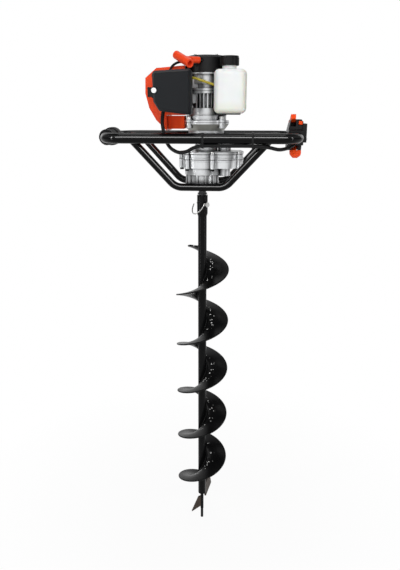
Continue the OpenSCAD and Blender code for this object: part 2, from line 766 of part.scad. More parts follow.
module crankcase_lower() {
    skirt_top = engine_z + skirt_h;
    band_top = skirt_top + band_h;
    color(silver) difference() {
        union() {
            at_engine(engine_z) cylinder(r = bell_r, h = flange_t);
            at_engine(engine_z + 1) cylinder(r = bell_r - 7.3, h = skirt_h - 1);
            for (a = [45 : 90 : 315]) at_engine(engine_z) rotate(a) translate([bell_lug_pcd / 2, 0, 0])
                cylinder(r = bell_lug_r, h = bell_lug_h - slip);
            at_engine(skirt_top - 1) cylinder(r = band_r, h = band_h + 1);
            crankcase_solid(band_top - 1, split_z);
            case_round(band_r - 1, split_z - split_flange_t, split_z);
            for (a = [-121 : 13 : -43]) at_engine(band_top - 1) rotate(a)
                translate([crankcase_r - 3, -1.5, 0])
                cube([band_r - crankcase_r + 1, 3, split_z - split_flange_t / 2 - band_top + 1]);
        }
        crankcase_hollow();
        at_engine(engine_z - 1) cylinder(r = fan_space_r, h = skirt_h - 3);
        at_engine(engine_z + 1) cylinder(r = band_r - 10, h = skirt_h + band_h - 7);
        for (a = [45 : 90 : 315]) at_engine(engine_z - 1) rotate(a) translate([bell_lug_pcd / 2, 0, 0])
            cylinder(r = bell_screw_r, h = bell_lug_h + 2);
    }
}
starter_flange_t = 4;
module crankcase_upper() {
    flange_z = starter_z - starter_flange_t;
    color(silver) difference() {
        union() {
            crankcase_solid(split_z, flange_z + 1);
            case_round(band_r - 1, split_z, split_z + split_flange_t);
            case_round(crankcase_r + 6, split_z + 17, flange_z + 1);
            at_engine(flange_z) cylinder(r = starter_r, h = starter_flange_t);
        }
        crankcase_hollow();
    }
}
module cylinder_fins() {
    fin_t = 2.4;
    fin_step = 7;
    for (x = [head_end_x : fin_step : deck_x - 12])
        block([x, -fin_half, split_z - fin_half], [x + fin_t, fin_half, split_z + fin_half]);
}
module cylinder_block() {
    barrel = bore_r + 5;
    color(silver) difference() {
        union() {
            along_x(head_end_x) cylinder(r = barrel, h = deck_x - head_end_x);
            block([deck_x - 6, -deck_half, split_z - deck_half], [deck_x, deck_half, split_z + deck_half]);
            cylinder_fins();
            block([port_x - 14, intake_y, split_z - 14], [port_x + 14, 0, split_z + 14]);
            block([port_x - 14, 0, split_z - 12], [port_x + 14, exhaust_y, split_z + 12]);
        }
        along_x(head_x) cylinder(r = bore_r, h = deck_x - head_x + 1);
        along_x(head_end_x - 1) cylinder(r = plug_thread_r, h = head_x - head_end_x + 2);
        along_y(port_x, intake_y - 1, split_z) cylinder(r = throttle_bore_r, h = -intake_y + 1);
        along_y(port_x, 0, split_z) cylinder(r = 8, h = exhaust_y + 1);
    }
}
module piston() {
    skirt = 26;
    crown = 6;
    wall = 4;
    color(silver) difference() {
        along_x(crown_x) cylinder(r = bore_r - 0.1, h = skirt);
        along_x(crown_x + crown) cylinder(r = bore_r - wall, h = skirt);
    }
    translate([pin_x, 0, split_z - bore_r + wall - 1]) cylinder(r = 5, h = 2 * (bore_r - wall + 1));
}
module connecting_rod() {
    big_r = 11;
    small_r = 8;
    rod_t = 12;
    color(dark_steel) translate([0, 0, split_z - rod_t / 2]) difference() {
        union() {
            translate([crank_pin_x, 0, 0]) cylinder(r = big_r, h = rod_t);
            translate([pin_x, 0, 0]) cylinder(r = small_r, h = rod_t);
            translate([pin_x, -4, 2]) cube([rod_len, 8, rod_t - 4]);
        }
        translate([pin_x, 0, -1]) cylinder(r = 5 + run, h = rod_t + 2);
    }
}
plug_thread_r = 7;
plug_len = 36;
module spark_plug() {
    color(silver) {
        along_x(head_end_x - 1) cylinder(r = plug_thread_r, h = head_x - head_end_x);
        along_x(head_end_x - 8) rotate(30) cylinder(r = 10.5, h = 8, $fn = 6);
        along_x(head_end_x - 8 - 16) cylinder(r = 5, h = 17);
    }
}
module ignition_coil() {
    color(rubber_black)
        block([head_x + 6, -18, split_z + fin_half], [head_x + 30, 18, split_z + fin_half + 14]);
}
module ignition_lead() {
    color(rubber_black) swept_tube(lead_route, 3, [0.3, 0.5, 1], 3, 8);
}

// Engine: covers
shroud_wall = 2.5;
shroud_y = [-46, 62];
shroud_right = -41;
function shroud_outline(inset) = [
    [shroud_right + (inset > 0 ? 5 : 0), split_z + 58.6 - inset], [-111 + inset * 0.4, split_z + 53 - inset],
    [-139 + inset, split_z + 30 - inset * 0.4], [-140 + inset, split_z - 6],
        [-131 + inset, split_z - 41 + inset * 0.3],
    [-114 + inset * 0.8, split_z - 70 + inset * 0.6], [-88 - inset, split_z - 96 + inset * 2.4],
    [-88 - inset, split_z - 58 + inset], [shroud_right + (inset > 0 ? 5 : 0), split_z - 58 + inset]
];
module shroud_prism(y0, y1, inset) {
    translate([0, y1, 0]) rotate([90, 0, 0]) linear_extrude(y1 - y0) polygon(shroud_outline(inset));
}
module engine_shroud() {
    color(red_plastic) difference() {
        shroud_prism(shroud_y[0], shroud_y[1], 0);
        shroud_prism(shroud_y[0] + shroud_wall, shroud_y[1] - shroud_wall, shroud_wall);
        block([port_x - 17, shroud_y[0] - 1, split_z - 17],
            [shroud_right + 1, shroud_y[0] + 4, split_z + 17]);
        block([port_x - 39, shroud_y[1] - 4, split_z - 31],
            [shroud_right + 1, shroud_y[1] + 1, split_z + 31]);
        along_y(-97.5, shroud_y[0] - 1, split_z + 13.5) cylinder(r = 5.5, h = 5);
    }
}
module fan_duct() {
    low = [-87, -duct_half, bell_z + 2];
    high = [engine_x - bell_r + 20, duct_half, split_z - 60];
    wall = [shroud_wall, shroud_wall, shroud_wall];
    color(red_plastic) difference() {
        block(low, high);
        block(low + wall, [high[0] + 1, high[1] - shroud_wall, high[2] + 1]);
        at_engine(0) cylinder(r = bell_r + slip, h = top_z);
        for (a = [135, 225]) at_engine(0) rotate(a) translate([bell_lug_pcd / 2, 0, 0])
            cylinder(r = bell_lug_r + slip, h = top_z);
    }
}

// Engine: carburettor and air cleaner
module carburetor() {
    color(silver) difference() {
        block([port_x - carb_half, carb_front_y, split_z - carb_half],
            [port_x + carb_half, intake_y, split_z + carb_half]);
        along_y(port_x, carb_front_y - 1, split_z)
            cylinder(r = throttle_bore_r, h = intake_y - carb_front_y + 2);
        translate([port_x, (carb_front_y + intake_y) / 2, split_z - carb_half + 3])
            cylinder(r = throttle_shaft_r + run, h = 2 * carb_half);
    }
}
module throttle_valve() {
    y = (carb_front_y + intake_y) / 2;
    color(dark_steel) {
        translate([port_x, y, split_z - carb_half + 3.5])
            cylinder(r = throttle_shaft_r, h = 2 * carb_half + 1);
        along_y(port_x, y - 0.8, split_z) cylinder(r = throttle_bore_r - slip, h = 1.6);
        translate([port_x - 4, y - 4, split_z + carb_half + 0.5]) cube([20, 8, 3]);
    }
}
// Corners of the cover seen from the front: place, inward directions, radius and first angle
function cover_corners(inset) = [
    [[cover_x[1] - inset, cover_z[1] - 2 - inset], [-1, -1], max(6 - inset, 1), 0],
    [[cover_x[0] + inset, cover_z[1] - 6 - inset], [1, -1], max(10 - inset, 2), 90],
    [[cover_x[0] + 2 + inset, cover_z[0] + 22 + inset / 2], [1, 1], max(9 - inset, 2), 180],
    [[cover_x[0] + 12 + inset / 2, cover_z[0] + 6 + inset], [1, 1], max(9 - inset, 2), 225],
    [[cover_x[1] - inset, cover_z[0] - 2 + inset], [-1, 1], max(4 - inset, 1), 270]
];
function cover_outline(inset) = [
    for (c = cover_corners(inset), k = [0 : 4])
        let (sweep = c[3] == 180 || c[3] == 225 ? 45 : 90, a = c[3] + sweep * k / 4)
            c[0] + c[1] * c[2] + [cos(a), sin(a)] * c[2]
];
module cover_prism(y0, y1, inset) {
    translate([0, y1, 0]) rotate([90, 0, 0]) linear_extrude(y1 - y0) polygon(cover_outline(inset));
}
module air_cleaner_base() {
    x0 = cover_x[0] + cover_wall + slip;
    color(charcoal) difference() {
        union() {
            cover_prism(base_plate_y, carb_front_y, cover_wall + slip);
            block(
                [choke_pos[0] - 9, carb_front_y, choke_pos[1] - 9],
                [x0 + 12, carb_front_y + ear_t, knob_pos[1] + 9]
            );
        }
        along_y(port_x, base_plate_y - 1, split_z) cylinder(r = throttle_bore_r, h = base_plate_t + 2);
        along_y(knob_pos[0], base_plate_y - 1, knob_pos[1])
            cylinder(r = 3 + run, h = base_plate_t + ear_t + 2);
        along_y(choke_pos[0], carb_front_y - 1, choke_pos[1]) cylinder(r = 3 + run, h = ear_t + 2);
    }
}
module air_filter() {
    inset = cover_wall + 12;
    color([0.3, 0.32, 0.3]) block(
        [cover_x[0] + inset, cover_front_y + inset, cover_z[0] + inset],
        [cover_x[1] - inset, base_plate_y, cover_z[1] - inset]
    );
}
module air_cleaner_cover() {
    front = cover_front_y + cover_taper;
    color(charcoal) difference() {
        union() {
            difference() {
                union() {
                    hull() {
                        cover_prism(cover_front_y, cover_front_y + 0.5, cover_taper * 0.6);
                        cover_prism(front, front + 0.5, 0);
                    }
                    cover_prism(front, cover_back_y, 0);
                }
                cover_prism(cover_front_y + cover_wall, cover_back_y + 1, cover_taper * 0.9);
                cover_prism(front, cover_back_y + 1, cover_wall);
            }
            along_y(knob_pos[0], knob_y, knob_pos[1])
                cylinder(r = knob_r + 3, h = base_plate_y - slip - knob_y);
        }
        along_y(knob_pos[0], cover_front_y - 20, knob_pos[1])
            cylinder(r = knob_r + 1.2, h = knob_y - cover_front_y + 20);
        along_y(knob_pos[0], knob_y - 1, knob_pos[1]) cylinder(r = 3 + run, h = cover_depth);
    }
}
module cover_knob() {
    head_y = knob_y - slip;
    color(silver) {
        along_y(knob_pos[0], head_y - 9, knob_pos[1]) cylinder(r = knob_r, h = 9);
        along_y(knob_pos[0], head_y - 1, knob_pos[1]) cylinder(r = 3, h = carb_front_y + ear_t - head_y);
    }
}
module choke_lever() {
    y = carb_front_y - slip;
    color(rubber_black) {
        translate([0, y, 0]) rotate([90, 0, 0]) linear_extrude(4) polygon([
            for (p = [[-8.5, 3], [-6, 8], [1, 9], [7, 2], [8.5, -8], [6, -13], [1, -9], [-6, -5]])
                [choke_pos[0] + p[0], choke_pos[1] + p[1]]
        ]);
        along_y(choke_pos[0], y - 1, choke_pos[1]) cylinder(r = 3, h = ear_t + 3);
    }
}
muffler_y = [exhaust_y, exhaust_y + 50];
module muffler() {
    color(dark_steel) difference() {
        block([port_x - 36, muffler_y[0], split_z - 28], [port_x + 30, muffler_y[1], split_z + 28]);
        block([port_x - 34, muffler_y[0] + 2, split_z - 26], [port_x + 28, muffler_y[1] - 2, split_z + 26]);
        along_y(port_x, muffler_y[0] - 1, split_z) cylinder(r = 8, h = 4);
        along_x(port_x - 37, split_z - 16, muffler_y[1] - 14) cylinder(r = 6, h = 6);
    }
}
module muffler_guard() {
    gap = 4;
    t = 2;
    front_y = shroud_y[1] + 1;
    color(rubber_black) difference() {
        block([port_x - 36 - gap - t, front_y, split_z - 28 - gap - t],
            [port_x + 30 + gap + t, muffler_y[1] + gap + t, split_z + 28 + gap + t]);
        block([port_x - 36 - gap, front_y - 1, split_z - 28 - gap],
            [port_x + 30 + gap, muffler_y[1] + gap, split_z + 28 + gap]);
        for (z = [-20 : 10 : 20])
            block([port_x - 28, muffler_y[1], split_z + z - 2],
                [port_x + 22, muffler_y[1] + 10, split_z + z + 2]);
        block([port_x - 46, muffler_y[1] - 22, split_z - 24], [port_x - 38, muffler_y[1] - 6, split_z - 8]);
    }
    for (x = [port_x - 32, port_x + 26])
        along_y(x, muffler_y[1], split_z) cylinder(r = 3, h = gap + 1);
}

// Fuel tank
module tank_form(inset) {
    low = [tank_x0, tank_y0, tank_z0];
    high = low + [tank_w, tank_depth, tank_h];
    r = tank_round - inset;
    hull() for (x = [low[0] + tank_round, high[0] - tank_round],
        y = [low[1] + tank_round, high[1] - tank_round],
        z = [low[2] + tank_round, high[2] - tank_round]) translate([x, y, z]) sphere(r = r, $fn = 24);
}
module tank_notch(r) { at_engine(tank_z0 - 1) cylinder(r = r, h = tank_h + 2); }
module fuel_tank() {
    color(tank_white) difference() {
        union() {
            tank_form(0);
            translate([neck_pos[0], neck_pos[1], tank_top_z - 4]) cylinder(r = filler_r, h = filler_h + 4);
        }
        tank_notch(tank_notch_r);
        difference() {
            tank_form(tank_wall);
            tank_notch(tank_notch_r + tank_wall);
        }
        translate([neck_pos[0], neck_pos[1], tank_top_z - tank_round])
            cylinder(r = filler_r - tank_wall, h = tank_round + filler_h + 1);
    }
}
module fuel_cap() {
    rib_t = 2;
    color(rubber_black) translate([neck_pos[0], neck_pos[1], tank_top_z + cap_gap]) difference() {
        union() {
            cylinder(r = cap_r - 1, h = cap_h);
            for (a = [0 : 12 : 348]) rotate(a) translate([cap_r - 3, -rib_t / 2, 1])
                cube([3, rib_t, cap_h - 5]);
        }
        translate([0, 0, -1]) cylinder(r = filler_r + slip, h = filler_h - cap_gap + slip + 1);
    }
}
bracket_t = 3;
module tank_bracket() {
    foot_z0 = engine_z + skirt_h;
    leg_x = engine_x + band_r + 4;
    color(rubber_black) difference() {
        union() {
            block([tank_x0 + 6, tank_y0 + 20, tank_z0 - bracket_t], [tank_x0 + tank_w - 14, 0, tank_z0]);
            block([leg_x, -18, foot_z0], [leg_x + bracket_t, 0, tank_z0]);
            block([leg_x - 8, -18, foot_z0], [leg_x + bracket_t, 0, foot_z0 + bracket_t]);
        }
        at_engine(0) cylinder(r = band_r + slip, h = top_z);
    }
}
module fuel_hose() {
    color([0.75, 0.69, 0.15]) swept_tube(hose_route, 3, [0, 0.2, 1], 3, 8);
}

// Recoil starter
module starter_housing() {
    wall = 2.5;
    color(rubber_black) difference() {
        union() {
            at_engine(starter_z) difference() {
                rotate_extrude() polygon([
                    [0, 0], [starter_r, 0], [starter_r, starter_h - 5], [starter_r - 5, starter_h],
                        [0, starter_h]
                ]);
                translate([0, 0, -1]) cylinder(r = starter_r - wall, h = starter_h - 3 - wall + 1);
            }
            at_engine(rope_z - 5) cylinder(r = starter_post_r, h = top_z - rope_z + 4);
        }
        translate(rope_start) rotate([0, 90, pull_angle]) cylinder(r = rope_r + 2, h = rope_exit + 10);
    }
}
module starter_reel() {
    color(charcoal) at_engine(rope_z - reel_t / 2) difference() {
        rotate_extrude() polygon([
            [starter_post_r + run, 0], [reel_r, 0], [reel_r, 2], [groove_r - rope_r, 3],
                [groove_r - rope_r, reel_t - 3],
            [reel_r, reel_t - 2], [reel_r, reel_t], [starter_post_r + run, reel_t]
        ]);
        for (a = [0 : 60 : 300]) rotate(a) translate([20, 0, -1]) cylinder(r = 5, h = reel_t + 2);
    }
}
module starter_rope() {
    color(rubber_black) translate(rope_start) rotate([0, 90, pull_angle])
        translate([0, 0, 1]) cylinder(r = rope_r, h = stem_start - 1);
}
module starter_handle() {
    color(red_plastic) translate(rope_start) rotate([0, 0, pull_angle]) difference() {
        union() {
            translate([stem_start, 0, 0]) rotate([0, 90, 0]) cylinder(r = stem_r, h = bar_reach - stem_start);
            translate([bar_reach, 0, 0]) rotate([90 - handle_tilt, 0, 0])
                cylinder(r = handle_r, h = handle_len, center = true);
        }
        translate([bar_reach, 0, 0]) rotate([90 - handle_tilt, 0, 0])
            for (side = [0, 1]) mirror([0, 0, side]) translate([0, 0, handle_len / 2 - 12])
                cylinder(r = handle_r - 3.5, h = 13);
    }
}

// Throttle handle
module at_grip() { translate([grip_x, side_mid_y, ring_z]) children(); }
module side_prism(x0, x1, outline) {
    translate([x0, 0, 0]) rotate([90, 0, 90]) linear_extrude(x1 - x0) polygon(outline);
}
shell_outline = [
    [-shell_half_len, -18], [-shell_half_len, 17], [-22, 20], [-22, 44], [30, 44], [shell_half_len, 20],
    [shell_half_len, -30], [4, -33], [-6, -18]
];
side_outline = [[-30, -12], [-30, 34], [26, 34], [30, -12]];
module shell_bevels() {
    translate([0, 60, 0]) rotate([90, 0, 0]) linear_extrude(120) {
        polygon([[-27, 2], [-27, 60], [-16, 60], [-17, 44.5], [-19.5, 41]]);
        polygon([[8, 44.5], [8, 60], [16, 60], [16, 35], [13.5, 38]]);
    }
}
module shell_cuts() {
    shell_bevels();
    rotate([90, 0, 0]) translate([0, 0, -100]) cylinder(r = ring_r, h = 200);
    block([trigger_mid - trigger_half_w - 1, -16, -60],
        [trigger_mid + trigger_half_w + 1, trigger_pivot[0] + 9, -ring_r - 2]);
    translate([-50, trigger_pivot[0], trigger_pivot[1]]) rotate([0, 90, 0])
        cylinder(r = trigger_pin_r + run, h = 60);
    block([lock_x[0] - 0.8, -30, 27], [lock_x[1] + 0.8, lock_pivot[0] + 6, 60]);
    translate([lock_x[0] - 5, lock_pivot[0], lock_pivot[1]]) rotate([0, 90, 0])
        cylinder(r = 2 + run, h = lock_x[1] - lock_x[0] + 9);
    block([1, -40, 30], [11, switch_pivot[0] + 6, 42]);
    translate([-1, switch_pivot[0], switch_pivot[1]]) rotate([0, 90, 0]) cylinder(r = 1.5 + run, h = 13);
}
module throttle_shell_left() {
    color(rubber_black) at_grip() difference() {
        side_prism(shell_x[0], 0, shell_outline);
        shell_cuts();
    }
}
module throttle_shell_right() {
    color(rubber_black) at_grip() difference() {
        union() {
            side_prism(0, shell_x[1], shell_outline);
            side_prism(shell_x[1] - 1, shell_x[2], side_outline);
        }
        shell_cuts();
    }
}
module throttle_trigger() {
    pad_half = 14;
    blade = [[34, -20], [34, -30], [12, -45], [-20, -51], [-32, -44], [-28, -31], [-10, -32], [8, -38],
        [22, -19]];
    pad = [[-10, -32], [-8, -48], [-20, -51], [-32, -44], [-28, -31]];
    color(red_plastic) at_grip() translate([trigger_mid, 0, 0]) {
        side_prism(-trigger_half_w, trigger_half_w, blade);
        intersection() {
            side_prism(-pad_half, pad_half, pad);
            union() {
                along_y(0, -60, pad_half - 51) cylinder(r = pad_half, h = 120);
                block([-pad_half, -60, pad_half - 51], [pad_half, 60, 0]);
            }
        }
        translate([-trigger_half_w - 5, trigger_pivot[0], trigger_pivot[1]]) rotate([0, 90, 0])
            cylinder(r = trigger_pin_r, h = 2 * trigger_half_w + 10);
    }
}
module throttle_lock() {
    color(red_plastic) at_grip() {
        side_prism(lock_x[0], lock_x[1],
            [[24, 34], [25, 42], [10, 50], [-10, 57], [-20, 56], [-20, 46], [-8, 38], [16, 34]]);
        translate([lock_x[0] - 3, lock_pivot[0], lock_pivot[1]]) rotate([0, 90, 0])
            cylinder(r = 2, h = lock_x[1] - lock_x[0] + 6);
    }
}
module stop_switch() {
    color(red_plastic) at_grip() {
        side_prism(1.5, 10.5, [[-24.5, 32], [-24.5, 40], [-12, 41], [-12, 31]]);
        translate([0, switch_pivot[0], switch_pivot[1]]) rotate([0, 90, 0]) cylinder(r = 1.5, h = 11.5);
    }
}
module control_cable() {
    color(rubber_black) swept_tube(cable_route, cable_r, [0.2, 1, 0.5], 3, 10);
}
tie_w = 5;
tie_t = 1.6;
module cable_ties() {
    color(rubber_black) for (x = [8, grip_x - 114]) translate([x - tie_w / 2, 0, 0]) rotate([90, 0, 90])
        linear_extrude(tie_w) difference() {
        tie_loop(tie_t);
        tie_loop(0.15);
    }
}
module tie_loop(grow) {
    hull() {
        translate([-ring_front, ring_z]) circle(ring_r + grow, $fn = 48);
        translate([cable_y, ring_z - cable_under]) circle(cable_r + grow, $fn = 24);
    }
}

// Bit
lock_angle = -50;
lock_z = bit_len - 24;
module lock_frame() { translate([0, 0, lock_z]) rotate([0, 0, lock_angle]) rotate([0, 90, 0]) children(); }
module lock_hole() { lock_frame() translate([0, 0, -60]) cylinder(r = lock_r + run, h = 120); }
module bit_shaft() {
    socket_z = bit_len - socket_len;
    chamfer = 8;
    color(black_paint) difference() {
        union() {
            translate([0, 0, pilot_len]) cylinder(r = pole_r, h = bit_len - pilot_len - 10);
            translate([0, 0, socket_z + chamfer]) cylinder(r = socket_r, h = socket_len - chamfer);
            translate([0, 0, socket_z]) cylinder(r1 = pole_r, r2 = socket_r, h = chamfer);
        }
        translate([0, 0, bit_len - shaft_foot - 0.5]) cylinder(r = output_r + run, h = shaft_foot + 1);
        translate([0, 0, pilot_len - 1]) cylinder(r = pilot_r + 0.8, h = 21);
        lock_hole();
    }
}
flight_start = 76;
flight_steps = 24;
flight_taper = 50;
module bit_flight() {
    rings = ceil(flight_turns * flight_steps);
    inner = (pole_r + run) / cos(180 * flight_turns / rings);
    total = 360 * flight_turns;
    points = [
        for (i = [0 : rings])
            let (
                turn = total * i / rings, a = flight_start + turn,
                    z = flight_bottom + flight_pitch * turn / 360,
                outer = bit_r - (bit_r - pole_r) * 0.55 * pow(max(0,
                    turn - total + flight_taper) / flight_taper, 2)
            ) each [
                [inner * cos(a), inner * sin(a), z - flight_t / 2],
                    [outer * cos(a), outer * sin(a), z - flight_t / 2],
                [outer * cos(a), outer * sin(a), z + flight_t / 2],
                    [inner * cos(a), inner * sin(a), z + flight_t / 2]
            ]
    ];
    skin = [
        for (i = [0 : rings - 1], k = [0 : 3])
            let (a = 4 * i + k, b = 4 * i + (k + 1) % 4) each [[a, b + 4, b], [a, a + 4, b + 4]]
    ];
    last = 4 * rings;
    caps = [[0, 1, 2], [0, 2, 3], [last, last + 2, last + 1], [last, last + 3, last + 2]];
    color(black_paint) polyhedron(points, concat(skin, caps));
}
pilot_tip = 34;
root_r = pilot_r + 0.8;
module pilot_point() {
    color(dark_steel) {
        cylinder(r = pilot_r, h = pilot_tip + 1);
        translate([0, 0, pilot_tip]) cylinder(r = root_r, h = pilot_len + 20 - pilot_tip);
    }
}
blade_t = 5;
module cutting_blades() {
    cutter_drop = 82;
    color([0.33, 0.27, 0.23]) {
        difference() {
            rotate(200) rotate([90, 0, 0]) translate([0, 0, -blade_t / 2]) linear_extrude(blade_t)
                polygon([[0, pilot_len - 13], [12, pilot_len - 16], [34, pilot_tip - 6],
                    [0, pilot_tip + 12]]);
            translate([0, 0, -1]) cylinder(r = root_r, h = pilot_len + 2);
        }
        rotate(flight_start) translate([0, -slip, flight_bottom]) rotate([cutter_drop, 0, 0])
            translate([pole_r + 3, -42, -blade_t / 2])
                linear_extrude(blade_t)
                    polygon([[0, 0], [bit_r - pole_r - 3, 8], [bit_r - pole_r - 3, 39.3], [0, 39.3]]);
    }
}
module lock_pin() {
    reach = socket_r + 7;
    color(silver) lock_frame() difference() {
        union() {
            translate([0, 0, -reach]) cylinder(r = lock_r, h = reach + socket_r + 1);
            translate([0, 0, socket_r + slip]) cylinder(r = lock_r + 2.5, h = 9);
        }
        rotate(bail_drop) translate([-20, 0, bail_head]) rotate([0, 90, 0])
            cylinder(r = bail_r + 0.2, h = 40);
    }
}
bail_r = 1.6;
bail_head = socket_r + 5;
bail_drop = 58;
bail_side = 9;
bail_points = [[0.3, 2], [1, 8], [0, 17], [-6, 28], [-16, 35], [-28, 34], [-37, 26], [-41, 16], [-42, 8]];
module lock_pin_bail() {
    axle = [for (x = [bail_side - 1, 0, 2 - bail_side]) [x, 0, bail_head]];
    wire = [for (b = bail_points) [-bail_side, -b[1], bail_head + b[0]]];
    color(silver) lock_frame() rotate(bail_drop) swept_tube(concat(axle, wire), bail_r, [0.6, 0, 0.8], 2, 8);
}

handle_ring();
left_grip();
front_guard_tube();
rear_guard_tube();
gearbox_plate();
case_screws();
gearbox_lower_case();
gearbox_upper_case();
output_shaft();
output_gear();
countershaft();
countershaft_gear();
input_shaft();
clutch_drum();
ball_bearings();
clutch_housing();
flywheel_fan();
crankshaft();
clutch_shoe_1();
clutch_shoe_2();
crankcase_lower();
crankcase_upper();
cylinder_block();  // cylinder
piston();
connecting_rod();
spark_plug();
ignition_lead();
ignition_coil();
engine_shroud();
fan_duct();
carburetor();
throttle_valve();
air_cleaner_base();
air_filter();
air_cleaner_cover();
cover_knob();
choke_lever();
muffler();
muffler_guard();
fuel_tank();
fuel_cap();
tank_bracket();
fuel_hose();
starter_housing();
starter_reel();
starter_rope();
starter_handle();
throttle_shell_left();
throttle_shell_right();
throttle_trigger();
throttle_lock();
stop_switch();
control_cable();
cable_ties();
bit_shaft();
bit_flight();
pilot_point();
cutting_blades();
lock_pin();
lock_pin_bail();
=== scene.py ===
"""Looks of a petrol earth auger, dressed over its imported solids. Lengths are in metres."""

import math

import bmesh
import bpy
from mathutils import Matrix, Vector, noise


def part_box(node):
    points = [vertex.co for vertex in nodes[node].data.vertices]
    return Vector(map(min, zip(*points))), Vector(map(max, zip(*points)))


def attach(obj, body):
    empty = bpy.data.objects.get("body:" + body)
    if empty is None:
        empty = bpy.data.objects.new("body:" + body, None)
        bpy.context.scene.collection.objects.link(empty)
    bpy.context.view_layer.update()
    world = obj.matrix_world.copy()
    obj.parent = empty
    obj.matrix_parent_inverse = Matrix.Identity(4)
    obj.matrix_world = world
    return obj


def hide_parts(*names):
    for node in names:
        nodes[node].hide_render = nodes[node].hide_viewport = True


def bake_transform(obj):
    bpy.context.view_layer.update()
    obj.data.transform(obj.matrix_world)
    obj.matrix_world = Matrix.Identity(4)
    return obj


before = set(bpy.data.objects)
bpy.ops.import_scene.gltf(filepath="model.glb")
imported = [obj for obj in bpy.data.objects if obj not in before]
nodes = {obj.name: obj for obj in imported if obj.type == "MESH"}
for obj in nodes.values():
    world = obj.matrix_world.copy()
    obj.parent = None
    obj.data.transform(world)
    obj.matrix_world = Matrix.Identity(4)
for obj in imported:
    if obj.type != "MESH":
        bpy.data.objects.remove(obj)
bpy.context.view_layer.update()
scene = bpy.context.scene
scene.view_settings.view_transform = "Standard"

MM = 0.001
RING_Z = 1201.5
SPLIT_Z = 1314.0

# Camera, at the photograph's viewing angle

camera_data = bpy.data.cameras.new("camera")
camera_data.lens = 34.74
camera_data.sensor_width = 36.0
camera = bpy.data.objects.new("camera", camera_data)
camera.location = (0.1091, -1.4860, 1.267)
camera.rotation_euler = (math.radians(72.4), 0.0, math.radians(4.45))
scene.collection.objects.link(camera)
scene.camera = camera

# Materials


